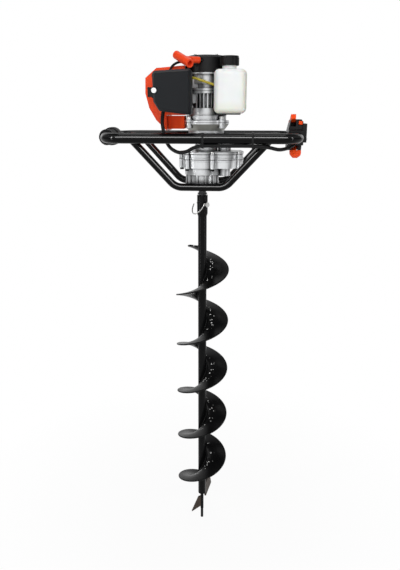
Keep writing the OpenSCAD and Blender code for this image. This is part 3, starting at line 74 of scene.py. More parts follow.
class Shader:
    """A node material with helpers for procedural detail in object coordinates."""

    def __init__(self, name, **sockets):
        self.material = bpy.data.materials.new(name)
        self.material.use_nodes = True
        self.tree = self.material.node_tree
        self.bsdf = self.tree.nodes["Principled BSDF"]
        self.coords = self.tree.nodes.new("ShaderNodeTexCoord")
        for key, value in sockets.items():
            self.bsdf.inputs[key.replace("_", " ")].default_value = value

    def link(self, a, b):
        self.tree.links.new(a, b)

    def node(self, kind, **settings):
        made = self.tree.nodes.new(kind)
        for key, value in settings.items():
            setattr(made, key, value)
        return made

    def noise(self, scale, detail=3.0, rough=0.55):
        made = self.node("ShaderNodeTexNoise")
        made.inputs["Scale"].default_value = scale
        made.inputs["Detail"].default_value = detail
        made.inputs["Roughness"].default_value = rough
        self.link(self.coords.outputs["Object"], made.inputs["Vector"])
        return made.outputs["Fac"]

    def cells(self, scale):
        """Outputs of a cell pattern."""
        made = self.node("ShaderNodeTexVoronoi")
        made.inputs["Scale"].default_value = scale
        self.link(self.coords.outputs["Object"], made.inputs["Vector"])
        return made.outputs

    def pair(self, operation, a, b):
        """Two values multiplied, or the larger of them."""
        made = self.node("ShaderNodeMath", operation=operation)
        self.link(a, made.inputs[0])
        self.link(b, made.inputs[1])
        return made.outputs["Value"]

    def apart(self, vector):
        """The X, Y and Z of a vector."""
        made = self.node("ShaderNodeSeparateXYZ")
        self.link(vector, made.inputs["Vector"])
        return made.outputs

    def place(self):
        return self.apart(self.coords.outputs["Object"])

    def facing_up(self):
        """1 on a face that looks up, -1 on one that looks down."""
        return self.apart(self.node("ShaderNodeNewGeometry").outputs["Normal"])["Z"]

    def span(self, value, low, high, out_low, out_high):
        made = self.node("ShaderNodeMapRange")
        ends = {"From Min": low, "From Max": high, "To Min": out_low, "To Max": out_high}
        for key, number in ends.items():
            made.inputs[key].default_value = number
        self.link(value, made.inputs["Value"])
        return made.outputs["Result"]

    def ramp(self, value, stops):
        made = self.node("ShaderNodeValToRGB")
        ramp = made.color_ramp
        while len(ramp.elements) < len(stops):
            ramp.elements.new(0.5)
        for element, (place, colour) in zip(ramp.elements, stops):
            element.position = place
            element.color = (*colour, 1.0)
        self.link(value, made.inputs["Fac"])
        return made.outputs["Color"]

    def mix(self, factor, a, b):
        made = self.node("ShaderNodeMix", data_type="RGBA")
        colours = [s for s in made.inputs if s.type == "RGBA"]
        for socket, value in zip(colours, (a, b)):
            if isinstance(value, tuple):
                socket.default_value = (*value, 1.0)
            else:
                self.link(value, socket)
        self.link(factor, made.inputs[0])
        return [s for s in made.outputs if s.type == "RGBA"][0]

    def edges(self, radius):
        """1 near a sharp edge, 0 on a smooth face, and the rounded normal."""
        bevel = self.node("ShaderNodeBevel", samples=4)
        bevel.inputs["Radius"].default_value = radius
        shape = self.node("ShaderNodeNewGeometry")
        dot = self.node("ShaderNodeVectorMath", operation="DOT_PRODUCT")
        self.link(bevel.outputs["Normal"], dot.inputs[0])
        self.link(shape.outputs["Normal"], dot.inputs[1])
        return self.span(dot.outputs["Value"], 0.97, 0.75, 0.0, 1.0), bevel.outputs["Normal"]

    def painted_recess_shade(self, tone, reach, dark):
        """A tone that darkens in narrow recesses, as painted shade."""
        shade = self.node("ShaderNodeAmbientOcclusion", samples=6)
        shade.inputs["Distance"].default_value = reach
        return self.mix(self.span(shade.outputs["AO"], 0.3, 0.85, 0.0, 1.0), dark, tone)

    def painted_underside_shade(self, tone, underside_shade):
        """A tone that turns to another one on faces that look down, as painted shade."""
        return self.mix(self.span(self.facing_up(), -0.05, -0.5, 0.0, 0.85), tone, underside_shade)

    def gloss_above(self, low, high):
        """Gloss on faces that look partly up, and less on those that look down or straight up."""
        facing = self.facing_up()
        rise = self.span(facing, 0.1, 0.22, low, high)
        fall = self.span(facing, 0.5, 0.75, 1.0, low)
        self.link(self.pair("MULTIPLY", rise, fall), self.bsdf.inputs["Specular IOR Level"])

    def bump(self, height, strength, distance, normal=None):
        made = self.node("ShaderNodeBump")
        made.inputs["Strength"].default_value = strength
        made.inputs["Distance"].default_value = distance
        self.link(height, made.inputs["Height"])
        if normal is not None:
            self.link(normal, made.inputs["Normal"])
        return made.outputs["Normal"]

    def colour(self, value):
        self.link(value, self.bsdf.inputs["Base Color"])

    def rough(self, value):
        self.link(value, self.bsdf.inputs["Roughness"])

    def normal(self, value):
        self.link(value, self.bsdf.inputs["Normal"])


def scaled(colour, factor):
    return tuple(min(1.0, c * factor) for c in colour)


def surface(name, colour, rough, metal=0.0, spread=0.12, patch=14.0, grain=900.0, bump=0.12,
            depth=0.0004, edge=None, edge_colour=None, edge_share=0.6, rough_spread=0.08, painted_recess_shade=None,
            sheen=None, underside_shade=None, **sockets):
    """A coloured surface with soft variation, grain and, where asked, worn edges and painted shade in
    recesses and on faces that look down.
    """
    s = Shader(name, Metallic=metal, **sockets)
    broad = s.noise(patch, 4.0)
    tone = s.ramp(broad, ((0.3, scaled(colour, 1 - spread)), (0.7, scaled(colour, 1 + spread))))
    fine = s.noise(grain, 2.0)
    normal = None
    if edge:
        mask, normal = s.edges(edge)
        if edge_colour:
            broken = s.span(s.noise(160.0, 5.0), 0.42, 0.62, 0.0, edge_share)
            tone = s.mix(s.pair("MULTIPLY", mask, broken), tone, edge_colour)
    # Painted shade: another tone on faces that look down
    if underside_shade:
        tone = s.painted_underside_shade(tone, underside_shade)
    # Painted shade: darker in narrow recesses
    if painted_recess_shade:
        tone = s.painted_recess_shade(tone, *painted_recess_shade)
    if sheen:
        s.gloss_above(*sheen)
    s.colour(tone)
    s.rough(s.span(broad, 0.3, 0.7, max(0.02, rough - rough_spread), rough + rough_spread))
    s.normal(s.bump(fine, bump, depth, normal))
    return s.material


black_paint = surface("black_paint", (0.003, 0.003, 0.0032), 0.12, patch=9.0, grain=420.0, bump=0.012,
                      depth=0.0003, edge=0.0007, edge_colour=(0.05, 0.05, 0.052), edge_share=0.5,
                      rough_spread=0.03, sheen=(0.08, 1.0))
bit_paint = surface("bit_paint", (0.0028, 0.0028, 0.003), 0.2, patch=22.0, grain=520.0, bump=0.09,
                    depth=0.0004, edge=0.0009, edge_colour=(0.16, 0.16, 0.16), edge_share=0.6,
                    Specular_IOR_Level=0.09)


def flight_material():
    """Black paint over rolled steel, with pale specks, most of them near the pole."""
    s = Shader("flight_paint", Specular_IOR_Level=0.1)
    place = s.place()
    flat = s.node("ShaderNodeCombineXYZ")
    s.link(place["X"], flat.inputs["X"])
    s.link(place["Y"], flat.inputs["Y"])
    reach = s.node("ShaderNodeVectorMath", operation="LENGTH")
    s.link(flat.outputs["Vector"], reach.inputs[0])
    near = s.span(reach.outputs["Value"], 0.018, 0.026, 0.0, 1.0)
    far = s.span(reach.outputs["Value"], 0.030, 0.040, 1.0, 0.0)
    cells = s.cells(170.0)
    pale_specks = s.span(cells["Distance"], 0.34, 0.24, 0.0, 1.0)
    pick = s.node("ShaderNodeSeparateColor")
    s.link(cells["Color"], pick.inputs["Color"])
    for part in (near, far, s.span(pick.outputs["Red"], 0.55, 0.6, 0.0, 1.0)):
        pale_specks = s.pair("MULTIPLY", pale_specks, part)
    broad = s.noise(16.0, 4.0)
    tone = s.ramp(broad, ((0.3, (0.0035, 0.0035, 0.0037)), (0.7, (0.006, 0.006, 0.0063))))
    s.colour(s.mix(pale_specks, tone, (0.92, 0.92, 0.90)))
    s.rough(s.span(broad, 0.3, 0.7, 0.24, 0.36))
    s.normal(s.bump(s.noise(240.0, 3.0), 0.08, 0.0005))
    return s.material


flight_paint = flight_material()


def screw_material():
    """Zinc-plated screws, near black below a height low on the gearbox."""
    s = Shader("screw_steel", Metallic=0.85, Roughness=0.3)
    low = s.span(s.place()["Z"], 1.134, 1.132, 0.0, 1.0)
    broad = s.noise(60.0, 3.0)
    zinc = s.ramp(broad, ((0.3, (0.62, 0.62, 0.61)), (0.7, (0.76, 0.76, 0.75))))
    s.colour(s.mix(low, zinc, (0.012, 0.012, 0.013)))
    rounded = s.edges(0.0005)[1]
    s.rough(s.span(broad, 0.3, 0.7, 0.24, 0.38))
    s.normal(s.bump(s.noise(1600.0, 2.0), 0.08, 0.0002, rounded))
    return s.material


screw_steel = screw_material()
# Cast alloy with painted shade, darker in narrow recesses and on faces that look down
cast_alloy = surface("cast_alloy", (0.57, 0.58, 0.59), 0.34, metal=0.8, spread=0.06, patch=30.0,
                     grain=1500.0, bump=0.12, depth=0.0003, edge=0.0008, edge_colour=(0.9, 0.91, 0.92),
                     painted_recess_shade=(0.02, (0.02, 0.02, 0.022)), underside_shade=(0.2, 0.2, 0.17))
machined = surface("machined_steel", (0.5, 0.5, 0.51), 0.3, metal=1.0, spread=0.1, patch=40.0,
                   grain=2200.0, bump=0.08, depth=0.0002, edge=0.0004)
dark_steel = surface("dark_steel", (0.025, 0.025, 0.027), 0.3, metal=0.5, spread=0.15, patch=50.0,
                     grain=1200.0, bump=0.1, depth=0.0003, edge=0.0005, edge_colour=(0.3, 0.3, 0.3),
                     edge_share=0.5)
bright_steel = surface("bright_steel", (0.5, 0.5, 0.49), 0.24, metal=1.0, spread=0.08, patch=60.0,
                       grain=1800.0, bump=0.05, depth=0.0002)
red_plastic = surface("red_plastic", (0.86, 0.068, 0.015), 0.34, spread=0.05, patch=18.0, grain=1700.0,
                      bump=0.1, depth=0.0002, edge=0.0010, edge_colour=(0.92, 0.16, 0.08),
                      edge_share=0.35, Specular_IOR_Level=0.16)
# A brighter, less glossy copy of the red plastic: painted light on the fan duct, which sits in shade
# under the cover; the trigger, lock and switch share it
lit_red_plastic = surface("lit_red_plastic", (0.98, 0.085, 0.012), 0.34, spread=0.02, patch=18.0, grain=1700.0,
                   bump=0.1, depth=0.0002, edge=0.0010, edge_colour=(0.98, 0.16, 0.07), edge_share=0.35,
                   Specular_IOR_Level=0.07)
charcoal = surface("charcoal_plastic", (0.0085, 0.0098, 0.0118), 0.42, spread=0.1, patch=16.0,
                   grain=2100.0, bump=0.22, depth=0.00025, edge=0.0012,
                   edge_colour=(0.04, 0.043, 0.048), edge_share=0.4, Specular_IOR_Level=0.14)
black_plastic = surface("black_plastic", (0.0065, 0.0065, 0.007), 0.38, spread=0.15, patch=20.0,
                        grain=1900.0, bump=0.16, depth=0.00025, edge=0.0009,
                        edge_colour=(0.03, 0.03, 0.032), edge_share=0.4, Specular_IOR_Level=0.2)
black_sheet = surface("black_sheet", (0.012, 0.012, 0.012), 0.42, spread=0.2, patch=25.0, grain=900.0,
                      bump=0.1, edge=0.0006, edge_colour=(0.12, 0.12, 0.12), edge_share=0.5)
rubber = surface("black_rubber", (0.006, 0.006, 0.0063), 0.5, spread=0.2, patch=40.0, grain=1400.0,
                 bump=0.3, depth=0.0003, Specular_IOR_Level=0.16)
satin_nickel = surface("satin_nickel", (0.86, 0.86, 0.85), 0.42, metal=0.45, spread=0.04, patch=60.0,
                       grain=1500.0, bump=0.06, depth=0.0002, edge=0.0012,
                       edge_colour=(0.95, 0.95, 0.95))
cutter_steel = surface("cutter_steel", (0.05, 0.035, 0.025), 0.5, metal=0.5, spread=0.4, patch=90.0,
                       grain=700.0, bump=0.35, depth=0.0006, edge=0.0008, edge_colour=(0.34, 0.3, 0.27),
                       edge_share=0.8)
hose_rubber = surface("hose_rubber", (0.50, 0.415, 0.028), 0.3, spread=0.1, patch=60.0, grain=900.0,
                      bump=0.06, Subsurface_Weight=0.15, Subsurface_Scale=0.002)


def tank_material():
    """Blow-moulded white plastic, with painted warm shade towards its underside and its outer wall."""
    s = Shader("tank_plastic", Roughness=0.4, Subsurface_Weight=0.22, Subsurface_Scale=0.006)
    place = s.place()
    low = s.span(place["Z"], 1.290, 1.262, 0.0, 0.75)
    side = s.span(place["X"], 0.094, 0.112, 0.0, 0.85)
    broad = s.noise(22.0, 3.0)
    white = s.ramp(broad, ((0.3, (0.80, 0.80, 0.795)), (0.7, (0.85, 0.85, 0.845))))
    # Painted warm shade: cream towards the underside and the outer wall
    s.colour(s.mix(s.pair("MAXIMUM", low, side), white, (0.75, 0.725, 0.60)))
    rounded = s.edges(0.0015)[1]
    s.rough(s.span(broad, 0.3, 0.7, 0.34, 0.46))
    s.normal(s.bump(s.noise(700.0, 2.0), 0.08, 0.0003, rounded))
    return s.material


tank_plastic = tank_material()


def braid_material():
    """Crossed strands of a braided cord."""
    s = Shader("rope_braid", Roughness=0.8)
    waves = []
    for turn in (45.0, -45.0):
        mapping = s.node("ShaderNodeMapping")
        mapping.inputs["Rotation"].default_value = (0.3, math.radians(20.0), math.radians(turn))
        s.link(s.coords.outputs["Object"], mapping.inputs["Vector"])
        wave = s.node("ShaderNodeTexWave")
        wave.inputs["Scale"].default_value = 260.0
        s.link(mapping.outputs["Vector"], wave.inputs["Vector"])
        waves.append(wave.outputs["Fac"])
    crossed = s.pair("MULTIPLY", *waves)
    s.colour(s.ramp(crossed, ((0.0, (0.008, 0.008, 0.0084)), (0.7, (0.03, 0.03, 0.0315)))))
    s.normal(s.bump(crossed, 0.5, 0.0005))
    return s.material


rope_braid = braid_material()


def foam_material():
    """Dark open-cell foam."""
    s = Shader("filter_foam", Roughness=0.95)
    depth = s.cells(900.0)["Distance"]
    s.colour(s.ramp(depth, ((0.1, (0.012, 0.013, 0.012)), (0.6, (0.07, 0.075, 0.07)))))
    s.normal(s.bump(depth, 0.8, 0.0006))
    return s.material


filter_foam = foam_material()

# Finishes of the solids, also of those that a finer piece stands for

FINISH = {
    black_paint: ("handle_ring", "front_guard_tube", "rear_guard_tube", "gearbox_plate"),
    bit_paint: ("bit_shaft", "pilot_point"),
    flight_paint: ("bit_flight",),
    cast_alloy: ("gearbox_lower_case", "gearbox_upper_case", "clutch_housing", "crankcase_lower",
                 "crankcase_upper", "cylinder", "piston", "carburetor", "flywheel_fan"),
    screw_steel: ("case_screws",),
    dark_steel: ("output_shaft",),
    machined: ("output_gear", "countershaft", "countershaft_gear", "input_shaft", "clutch_drum",
               "ball_bearings", "crankshaft", "clutch_shoe_1", "clutch_shoe_2", "connecting_rod",
               "spark_plug", "throttle_valve", "muffler"),
    bright_steel: ("lock_pin", "lock_pin_bail"),
    satin_nickel: ("cover_knob",),
    red_plastic: ("engine_shroud", "starter_handle"),
    # The fan duct takes the brighter red copy, as painted light
    lit_red_plastic: ("fan_duct", "throttle_trigger", "throttle_lock", "stop_switch"),
    charcoal: ("air_cleaner_cover", "air_cleaner_base"),
    black_plastic: ("starter_housing", "starter_reel", "fuel_cap", "ignition_coil", "throttle_shell_left",
                    "throttle_shell_right", "choke_lever", "cable_ties"),
    black_sheet: ("muffler_guard", "tank_bracket"),
    rubber: ("left_grip", "control_cable", "ignition_lead"),
    tank_plastic: ("fuel_tank",),
    hose_rubber: ("fuel_hose",),
    rope_braid: ("starter_rope",),
    filter_foam: ("air_filter",),
    cutter_steel: ("cutting_blades",),
}
for finish, names in FINISH.items():
    for name in names:
        solid = nodes[name]
        solid.data.materials.clear()
        solid.data.materials.append(finish)

# Cords


def smooth_route(points, steps=8):
    """One smooth curve through points given in millimetres."""
    p = [Vector(q) * MM for q in points]
    ends = [p[0] * 2 - p[1]] + p + [p[-1] * 2 - p[-2]]
    route = []
    for i in range(1, len(ends) - 2):
        a, b, c, d = ends[i - 1:i + 3]
        for k in range(steps):
            t = k / steps
            route.append(0.5 * (2 * b + (c - a) * t + (2 * a - 5 * b + 4 * c - d) * t ** 2
                                + (3 * b - a - 3 * c + d) * t ** 3))
    return route + [p[-1]]


def route_length(route):
    return sum((b - a).length for a, b in zip(route, route[1:]))


def cord_curve(name, route, radius, finish):
    """A round cord as one open curve."""
    curve = bpy.data.curves.new(name, "CURVE")
    curve.dimensions = "3D"
    curve.bevel_depth = radius
    curve.bevel_resolution = 5
    curve.use_fill_caps = True
    spline = curve.splines.new("POLY")
    spline.points.add(len(route) - 1)
    for point, place in zip(spline.points, route):
        point.co = (*place, 1.0)
    spline.use_smooth = True
    curve.materials.append(finish)
    piece = bpy.data.objects.new(name, curve)
    scene.collection.objects.link(piece)
    return piece


def free_cord(name, points, radius, finish, node):
    """A cord held at both ends by the object, in place of its plain solid."""
    route = smooth_route(points)
    piece = cord_curve(name, route, radius, finish)
    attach(piece, "powerhead")
    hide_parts(node)


def raised(base, points):
    """Points with their heights counted from a base."""
    return [(x, y, base + z) for x, y, z in points]


RING_TUBE_R = 12.7
CABLE_R = 4.5
UNDER_BAR = math.sqrt((RING_TUBE_R + CABLE_R + 0.2) ** 2 - 9)
CABLE = raised(RING_Z, [
    (232, -47.3, -18), (231.5, -52, -18.2), (227, -60, -19.5), (215, -74, -24), (194, -90, -26),
    (166, -101, -20), (130, -103, -UNDER_BAR), (60, -103, -UNDER_BAR), (8, -103, -UNDER_BAR),
    (-14, -100, -22), (-34, -92, -32), (-54, -86, -34), (-74, -80, -24), (-86, -76, -6), (-92, -74, 16),
    (-95, -72, 40), (-92, -68, 64), (-84, -64, 84), (-76, -62, 98), (-67, -62, 103.4), (-62.3, -62, 104),
])
LEAD = raised(SPLIT_Z, [
    (-45.2, -11, 46), (-42, -11.8, 46.4), (-40.5, -19, 49.5), (-37, -28, 57), (-41, -39, 66),
    (-56, -50, 65), (-70, -56, 56), (-80, -57, 38), (-89, -54, 24), (-97, -46, 14),
    (-107, -30, 7), (-116, -14, 2), (-117.6, 0, 0),
])
HOSE = raised(SPLIT_Z, [
    (32.6, -60, 13), (28, -60.5, 14.4), (20, -62.5, 17), (6, -65, 21.6), (-12, -66, 27.4),
    (-26, -62, 29.5), (-35, -55, 26.5), (-37, -53, 16.4),
])
free_cord("throttle_cable", CABLE, CABLE_R * MM, rubber, "control_cable")
free_cord("plug_lead", LEAD, 3 * MM, rubber, "ignition_lead")
free_cord("fuel_line", HOSE, 3 * MM, hose_rubber, "fuel_hose")

# Mesh helpers


def mesh_piece(name, verts, faces, finish, body, slot, smooth=True):
    """A piece from points and faces, on a body unless that is set later."""
    mesh = bpy.data.meshes.new(name)
    mesh.from_pydata([tuple(v) for v in verts], [], faces)
    mesh.update()
    work = bmesh.new()
    work.from_mesh(mesh)
    bmesh.ops.recalc_face_normals(work, faces=work.faces)
    work.to_mesh(mesh)
    work.free()
    mesh.materials.append(finish)
    for polygon in mesh.polygons:
        polygon.use_smooth = smooth
    piece = bpy.data.objects.new(name, mesh)
    scene.collection.objects.link(piece)
    if body:
        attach(piece, body)
    return piece


def lofted(rings, closed=False):
    """Faces through rings of points, with flat ends unless the rings close on themselves."""
    verts = [v for ring in rings for v in ring]
    n = len(rings[0])
    faces = []
    count = len(rings)
    for i in range(count if closed else count - 1):
        a, b = i * n, ((i + 1) % count) * n
        faces += [(a + k, a + (k + 1) % n, b + (k + 1) % n, b + k) for k in range(n)]
    if not closed:
        faces += [tuple(range(n))[::-1], tuple(range((count - 1) * n, count * n))]
    return verts, faces


def gathered(lofts):
    """Several lofts as one set of points and faces."""
    verts = []
    faces = []
    for rings in lofts:
        more, sides = lofted(rings)
        faces += [tuple(i + len(verts) for i in face) for face in sides]
        verts += more
    return verts, faces


def circle(count):
    """Angles at even steps round a circle."""
    return [2 * math.pi * k / count for k in range(count)]


def frame_at(direction):
    """Two directions across a line."""
    d = Vector(direction).normalized()
    side = d.cross(Vector((0, 0, 1)))
    if side.length < 0.05:
        side = d.cross(Vector((1, 0, 0)))
    side.normalize()
    return side, side.cross(d)


def tube_rings(route, radius, sides):
    """Rings along a route. The radius is a rule of the share along it and the angle."""
    rings = []
    last = len(route) - 1
    for i, p in enumerate(route):
        direction = route[min(i + 1, last)] - route[max(i - 1, 0)]
        side, up = frame_at(direction)
        ring = []
        for a in circle(sides):
            r = radius(i / last, a)
            ring.append(p + side * (r * math.cos(a)) + up * (r * math.sin(a)))
        rings.append(ring)
    return rings


# Starter rope, braided, from the reel's housing to the handle

ROPE_START = Vector((29.57, -25.32, 1384.0)) * MM
PULL_ANGLE = math.radians(217.7)
PULL = Vector((math.cos(PULL_ANGLE), math.sin(PULL_ANGLE), 0.0))
ROPE_FIRST = 1
ROPE_LEN = 42.6
ROPE_STEPS = 60
ROPE_R = 1.9
rope_route = [ROPE_START + PULL * (MM * (ROPE_FIRST + ROPE_LEN * i / ROPE_STEPS))
              for i in range(ROPE_STEPS + 1)]


def strand(share, angle):
    """Radius of the rope, with the small swells of crossed strands."""
    twist = 2 * math.pi * 9 * share
    return MM * (ROPE_R + 0.1 * math.sin(4 * angle + twist) * math.sin(4 * angle - twist))


rope = mesh_piece("braided_rope", *lofted(tube_rings(rope_route, strand, 24)), rope_braid, None, "rope")
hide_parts("starter_rope")
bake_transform(rope)

# Left grip, a moulded rubber sleeve with fine rings and a collar

low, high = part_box("left_grip")
grip_x = (low.x + high.x) / 2
grip_z = (low.z + high.z) / 2
GRIP_R = 20.0 * MM
COLLAR_R = 23.5 * MM
BORE_R = 12.75 * MM
COLLAR_LEN = 41.0 * MM
RIB = 0.8 * MM
GROOVE = 0.7 * MM


def grip_profile():
    """Radius along the sleeve: a swollen rear part, then a ribbed part with a rolled front end."""
    length = high.y - low.y
    rows = [(0.0, BORE_R), (0.0, COLLAR_R - 3.0 * MM), (0.8 * MM, COLLAR_R - 1.4 * MM),
            (2.4 * MM, COLLAR_R - 0.4 * MM)]
    at = 4.0 * MM
    while at < COLLAR_LEN - 5.0 * MM:
        swell = COLLAR_R - 0.9 * MM * ((at - COLLAR_LEN / 2) / (COLLAR_LEN / 2)) ** 2
        rows += [(at, swell), (at + 2.6 * MM, swell), (at + 3.0 * MM, swell - GROOVE),
                 (at + 3.8 * MM, swell - GROOVE)]
        at += 4.2 * MM
    rows += [(COLLAR_LEN - 2.4 * MM, COLLAR_R - 0.9 * MM), (COLLAR_LEN - 0.8 * MM, COLLAR_R - 1.6 * MM),
             (COLLAR_LEN, COLLAR_R - 2.8 * MM), (COLLAR_LEN + 0.2 * MM, GRIP_R)]
    at = COLLAR_LEN + 3.0 * MM
    while at < length - 9.0 * MM:
        rows += [(at, GRIP_R), (at + 1.6 * MM, GRIP_R), (at + 1.9 * MM, GRIP_R - RIB),
                 (at + 2.7 * MM, GRIP_R - RIB)]
        at += 3.0 * MM
    rows += [(length - 7.0 * MM, GRIP_R), (length - 1.6 * MM, GRIP_R),
             (length - 0.5 * MM, GRIP_R - 0.5 * MM), (length, GRIP_R - 1.6 * MM), (length, BORE_R)]
    return rows


GRIP_SIDES = 72
grip_rings = []
for along, radius in grip_profile():
    grip_rings.append([(grip_x + radius * math.cos(a), high.y - along, grip_z + radius * math.sin(a))
                       for a in circle(GRIP_SIDES)])
grip = mesh_piece("grip_sleeve", *lofted(grip_rings, closed=True), rubber, "powerhead", "black_rubber",
                  smooth=False)
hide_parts("left_grip")

# Air filter, an open-cell foam pad behind the cover

low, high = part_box("air_filter")
foam_mesh = bpy.data.meshes.new("filter_pad")
work = bmesh.new()
bmesh.ops.create_cube(work, size=1.0)
bmesh.ops.subdivide_edges(work, edges=work.edges[:], cuts=12, use_grid_fill=True)
size = high - low
middle = (high + low) / 2
for v in work.verts:
    p = Vector(v.co)
    crown = 1.0 - 0.05 * (abs(2 * p.x) ** 4 + abs(2 * p.z) ** 4) / 2
    place = Vector((p.x * size.x * crown, p.y * size.y * (0.9 + 0.1 * crown), p.z * size.z * crown))
    place *= 0.985
    v.co = middle + place + noise.noise_vector(place * 300.0) * 0.0004
work.to_mesh(foam_mesh)
work.free()
foam_mesh.materials.append(filter_foam)
foam = bpy.data.objects.new("filter_pad", foam_mesh)
scene.collection.objects.link(foam)
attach(foam, "powerhead")
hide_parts("air_filter")

# Screw flight, one smooth strip with a rounded rim, welded to the pole

TOTAL = 2 * math.pi * 5.22
START = math.radians(76.0)
TAPER = math.radians(50.0)
PITCH = 152.0 * MM
BOTTOM = 112.0 * MM
THICK = 4.5 * MM
POLE_R = 12.0 * MM
BIT_R = 75.0 * MM
FLIGHT_STEPS = 520
BEAD_STEPS = 900


def flight_place(turn):
    """Angle and height of the flight's middle after a turn from its lower end."""
    return START + turn, BOTTOM + PITCH * turn / (2 * math.pi)


def rim(turn):
    """Outer radius, drawn in at the flight's upper end."""
    share = max(0.0, turn - TOTAL + TAPER) / TAPER
    return BIT_R - (BIT_R - POLE_R) * 0.55 * share ** 2


def flight_section(turn):
    """Outline of the strip as (radius, height) pairs, with a rolled outer edge."""
    outer = rim(turn)
    half = THICK / 2
    roll = [(outer - half * 0.8 + half * 0.8 * math.cos(a), half * math.sin(a))
            for a in (math.radians(-90 + 22.5 * k) for k in range(9))]
    spread = [POLE_R + 0.05 * MM + (outer - half - POLE_R) * k / 6 for k in range(7)]
    return [(r, -half) for r in spread] + roll + [(r, half) for r in spread[::-1]]


flight_rings = []
for i in range(FLIGHT_STEPS + 1):
    turn = TOTAL * i / FLIGHT_STEPS
    a, z = flight_place(turn)
    flight_rings.append([(r * math.cos(a), r * math.sin(a), z + h) for r, h in flight_section(turn)])
flight = mesh_piece("screw_flight", *lofted(flight_rings), flight_paint, "output", "black_paint")
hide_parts("bit_flight")


def flight_bead(name, side):
    """A weld bead between the pole and one side of the flight."""
    route = []
    r = POLE_R + 0.9 * MM
    for i in range(BEAD_STEPS + 1):
        a, z = flight_place(TOTAL * i / BEAD_STEPS)
        route.append(Vector((r * math.cos(a), r * math.sin(a), z + side * (THICK / 2 + 0.8 * MM))))

    def lump(share, angle):
        pulse = abs(math.sin(share * BEAD_STEPS * 0.55))
        grain = noise.noise(Vector((share * 210.0, angle, side)))
        return MM * (1.35 + 0.55 * pulse + 0.5 * grain)

    mesh_piece(name, *lofted(tube_rings(route, lump, 8)), flight_paint, "output", "black_paint")


flight_bead("upper_bead", 1)
flight_bead("lower_bead", -1)

# Seams between the castings and round the tank, and a dark line of painted shade under the gearbox lid


def section_loop(node, place, across):
    """The longest outline where a plane cuts a solid."""
    work = bmesh.new()
    work.from_mesh(nodes[node].data)
    work.transform(nodes[node].matrix_world)
    bmesh.ops.remove_doubles(work, verts=work.verts[:], dist=1e-6)
    cut = bmesh.ops.bisect_plane(work, geom=work.verts[:] + work.edges[:] + work.faces[:], plane_co=place,
                                 plane_no=across)
    links = {}
    for edge in cut["geom_cut"]:
        if isinstance(edge, bmesh.types.BMEdge):
            a, b = edge.verts
            links.setdefault(a, []).append(b)
            links.setdefault(b, []).append(a)
    loops = []
    left = dict.fromkeys(links)
    while left:
        here = next(iter(left))
        del left[here]
        loop = [here.co.copy()]
        while True:
            onward = [v for v in links[here] if v in left]
            if not onward:
                break
            here = onward[0]
            del left[here]
            loop.append(here.co.copy())
        loops.append(loop)
    work.free()
    return max(loops, key=lambda loop: route_length(loop + loop[:1]))


def even_loop(loop, step):
    """Points at even distances round a closed line."""
    closed = loop + loop[:1]
    total = route_length(closed)
    count = max(12, int(total / step))
    points = []
    done = 0.0
    for a, b in zip(closed, closed[1:]):
        part = (b - a).length
        while len(points) < count and len(points) * total / count <= done + part and part > 0:
            points.append(a.lerp(b, (len(points) * total / count - done) / part))
        done += part
    return points


def seam(name, node, place, across, shift, radius, finish, slot):
    """A thin line round a solid: gaskets, the tank's flash and a dark line of painted shade under the
    gearbox lid.
    """
    normal = Vector(across)
    points = [p + normal * shift for p in even_loop(section_loop(node, Vector(place), normal), 1.5 * MM)]
    rings = []
    for i, p in enumerate(points):
        onward = (points[(i + 1) % len(points)] - points[i - 1]).normalized()
        side = onward.cross(normal)
        rings.append([p + side * (radius * math.cos(a)) + normal * (radius * math.sin(a))
                      for a in circle(6)])
    mesh_piece(name, *lofted(rings, closed=True), finish, "powerhead", slot)


# Name, solid, height of the cut in metres, then the lift from there and the radius in millimetres
SEAMS_AND_SHADE_LINE = (
    ("gearbox_gasket", "gearbox_lower_case", 1.144, 2.0, 0.8),
    # lid_shadow_gap is a dark line of painted shade under the lid's rim, not a gasket
    ("lid_shadow_gap", "gearbox_upper_case", 1.156, 3.2, 0.7),
    ("fan_gasket", "clutch_housing", 1.2365, 1.5, 0.5),
    ("crankcase_gasket", "crankcase_lower", 1.3125, 1.5, 0.5),
    ("starter_gasket", "crankcase_upper", 1.3555, 1.5, 0.5),
)
for name, node, height, lift, radius in SEAMS_AND_SHADE_LINE:
    seam(name, node, (0, 0, height), (0.0, 0.0, 1.0), lift * MM, radius * MM, rubber, "black_rubber")
tank_low, tank_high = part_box("fuel_tank")
tank_middle = (tank_low + tank_high) / 2
seam("tank_flash", "fuel_tank", tank_middle, (0.0, 1.0, 0.0), 0.0, 0.4 * MM, tank_plastic, "tank_plastic")

# Socket screws

SCREW_PROFILE = ((1.0, -0.1), (1.0, 0.75), (0.88, 1.0), (0.55, 1.0), (0.5, 0.4), (0.05, 0.35))


def screws(name, places, out, radius, height):
    """Socket-head screws that stand on a face, from shares of a radius and a height in millimetres."""
    out = Vector(out)
    side, up = frame_at(out)
    lofts = []
    for place in places:
        rings = []
        for wide, tall in SCREW_PROFILE:
            r = radius * MM * wide
            middle = Vector(place) + out * (height * MM * tall)
            rings.append([middle + side * (r * math.cos(a)) + up * (r * math.sin(a)) for a in circle(18)])
        lofts.append(rings)
    mesh_piece(name, *gathered(lofts), machined, "powerhead", "plain_steel", smooth=False)


def corners(node, inset):
    """Four places near the corners of a solid's rear face."""
    low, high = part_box(node)
    return [(x, high.y, z) for x in (low.x + inset, high.x - inset)
            for z in (low.z + inset, high.z - inset)]


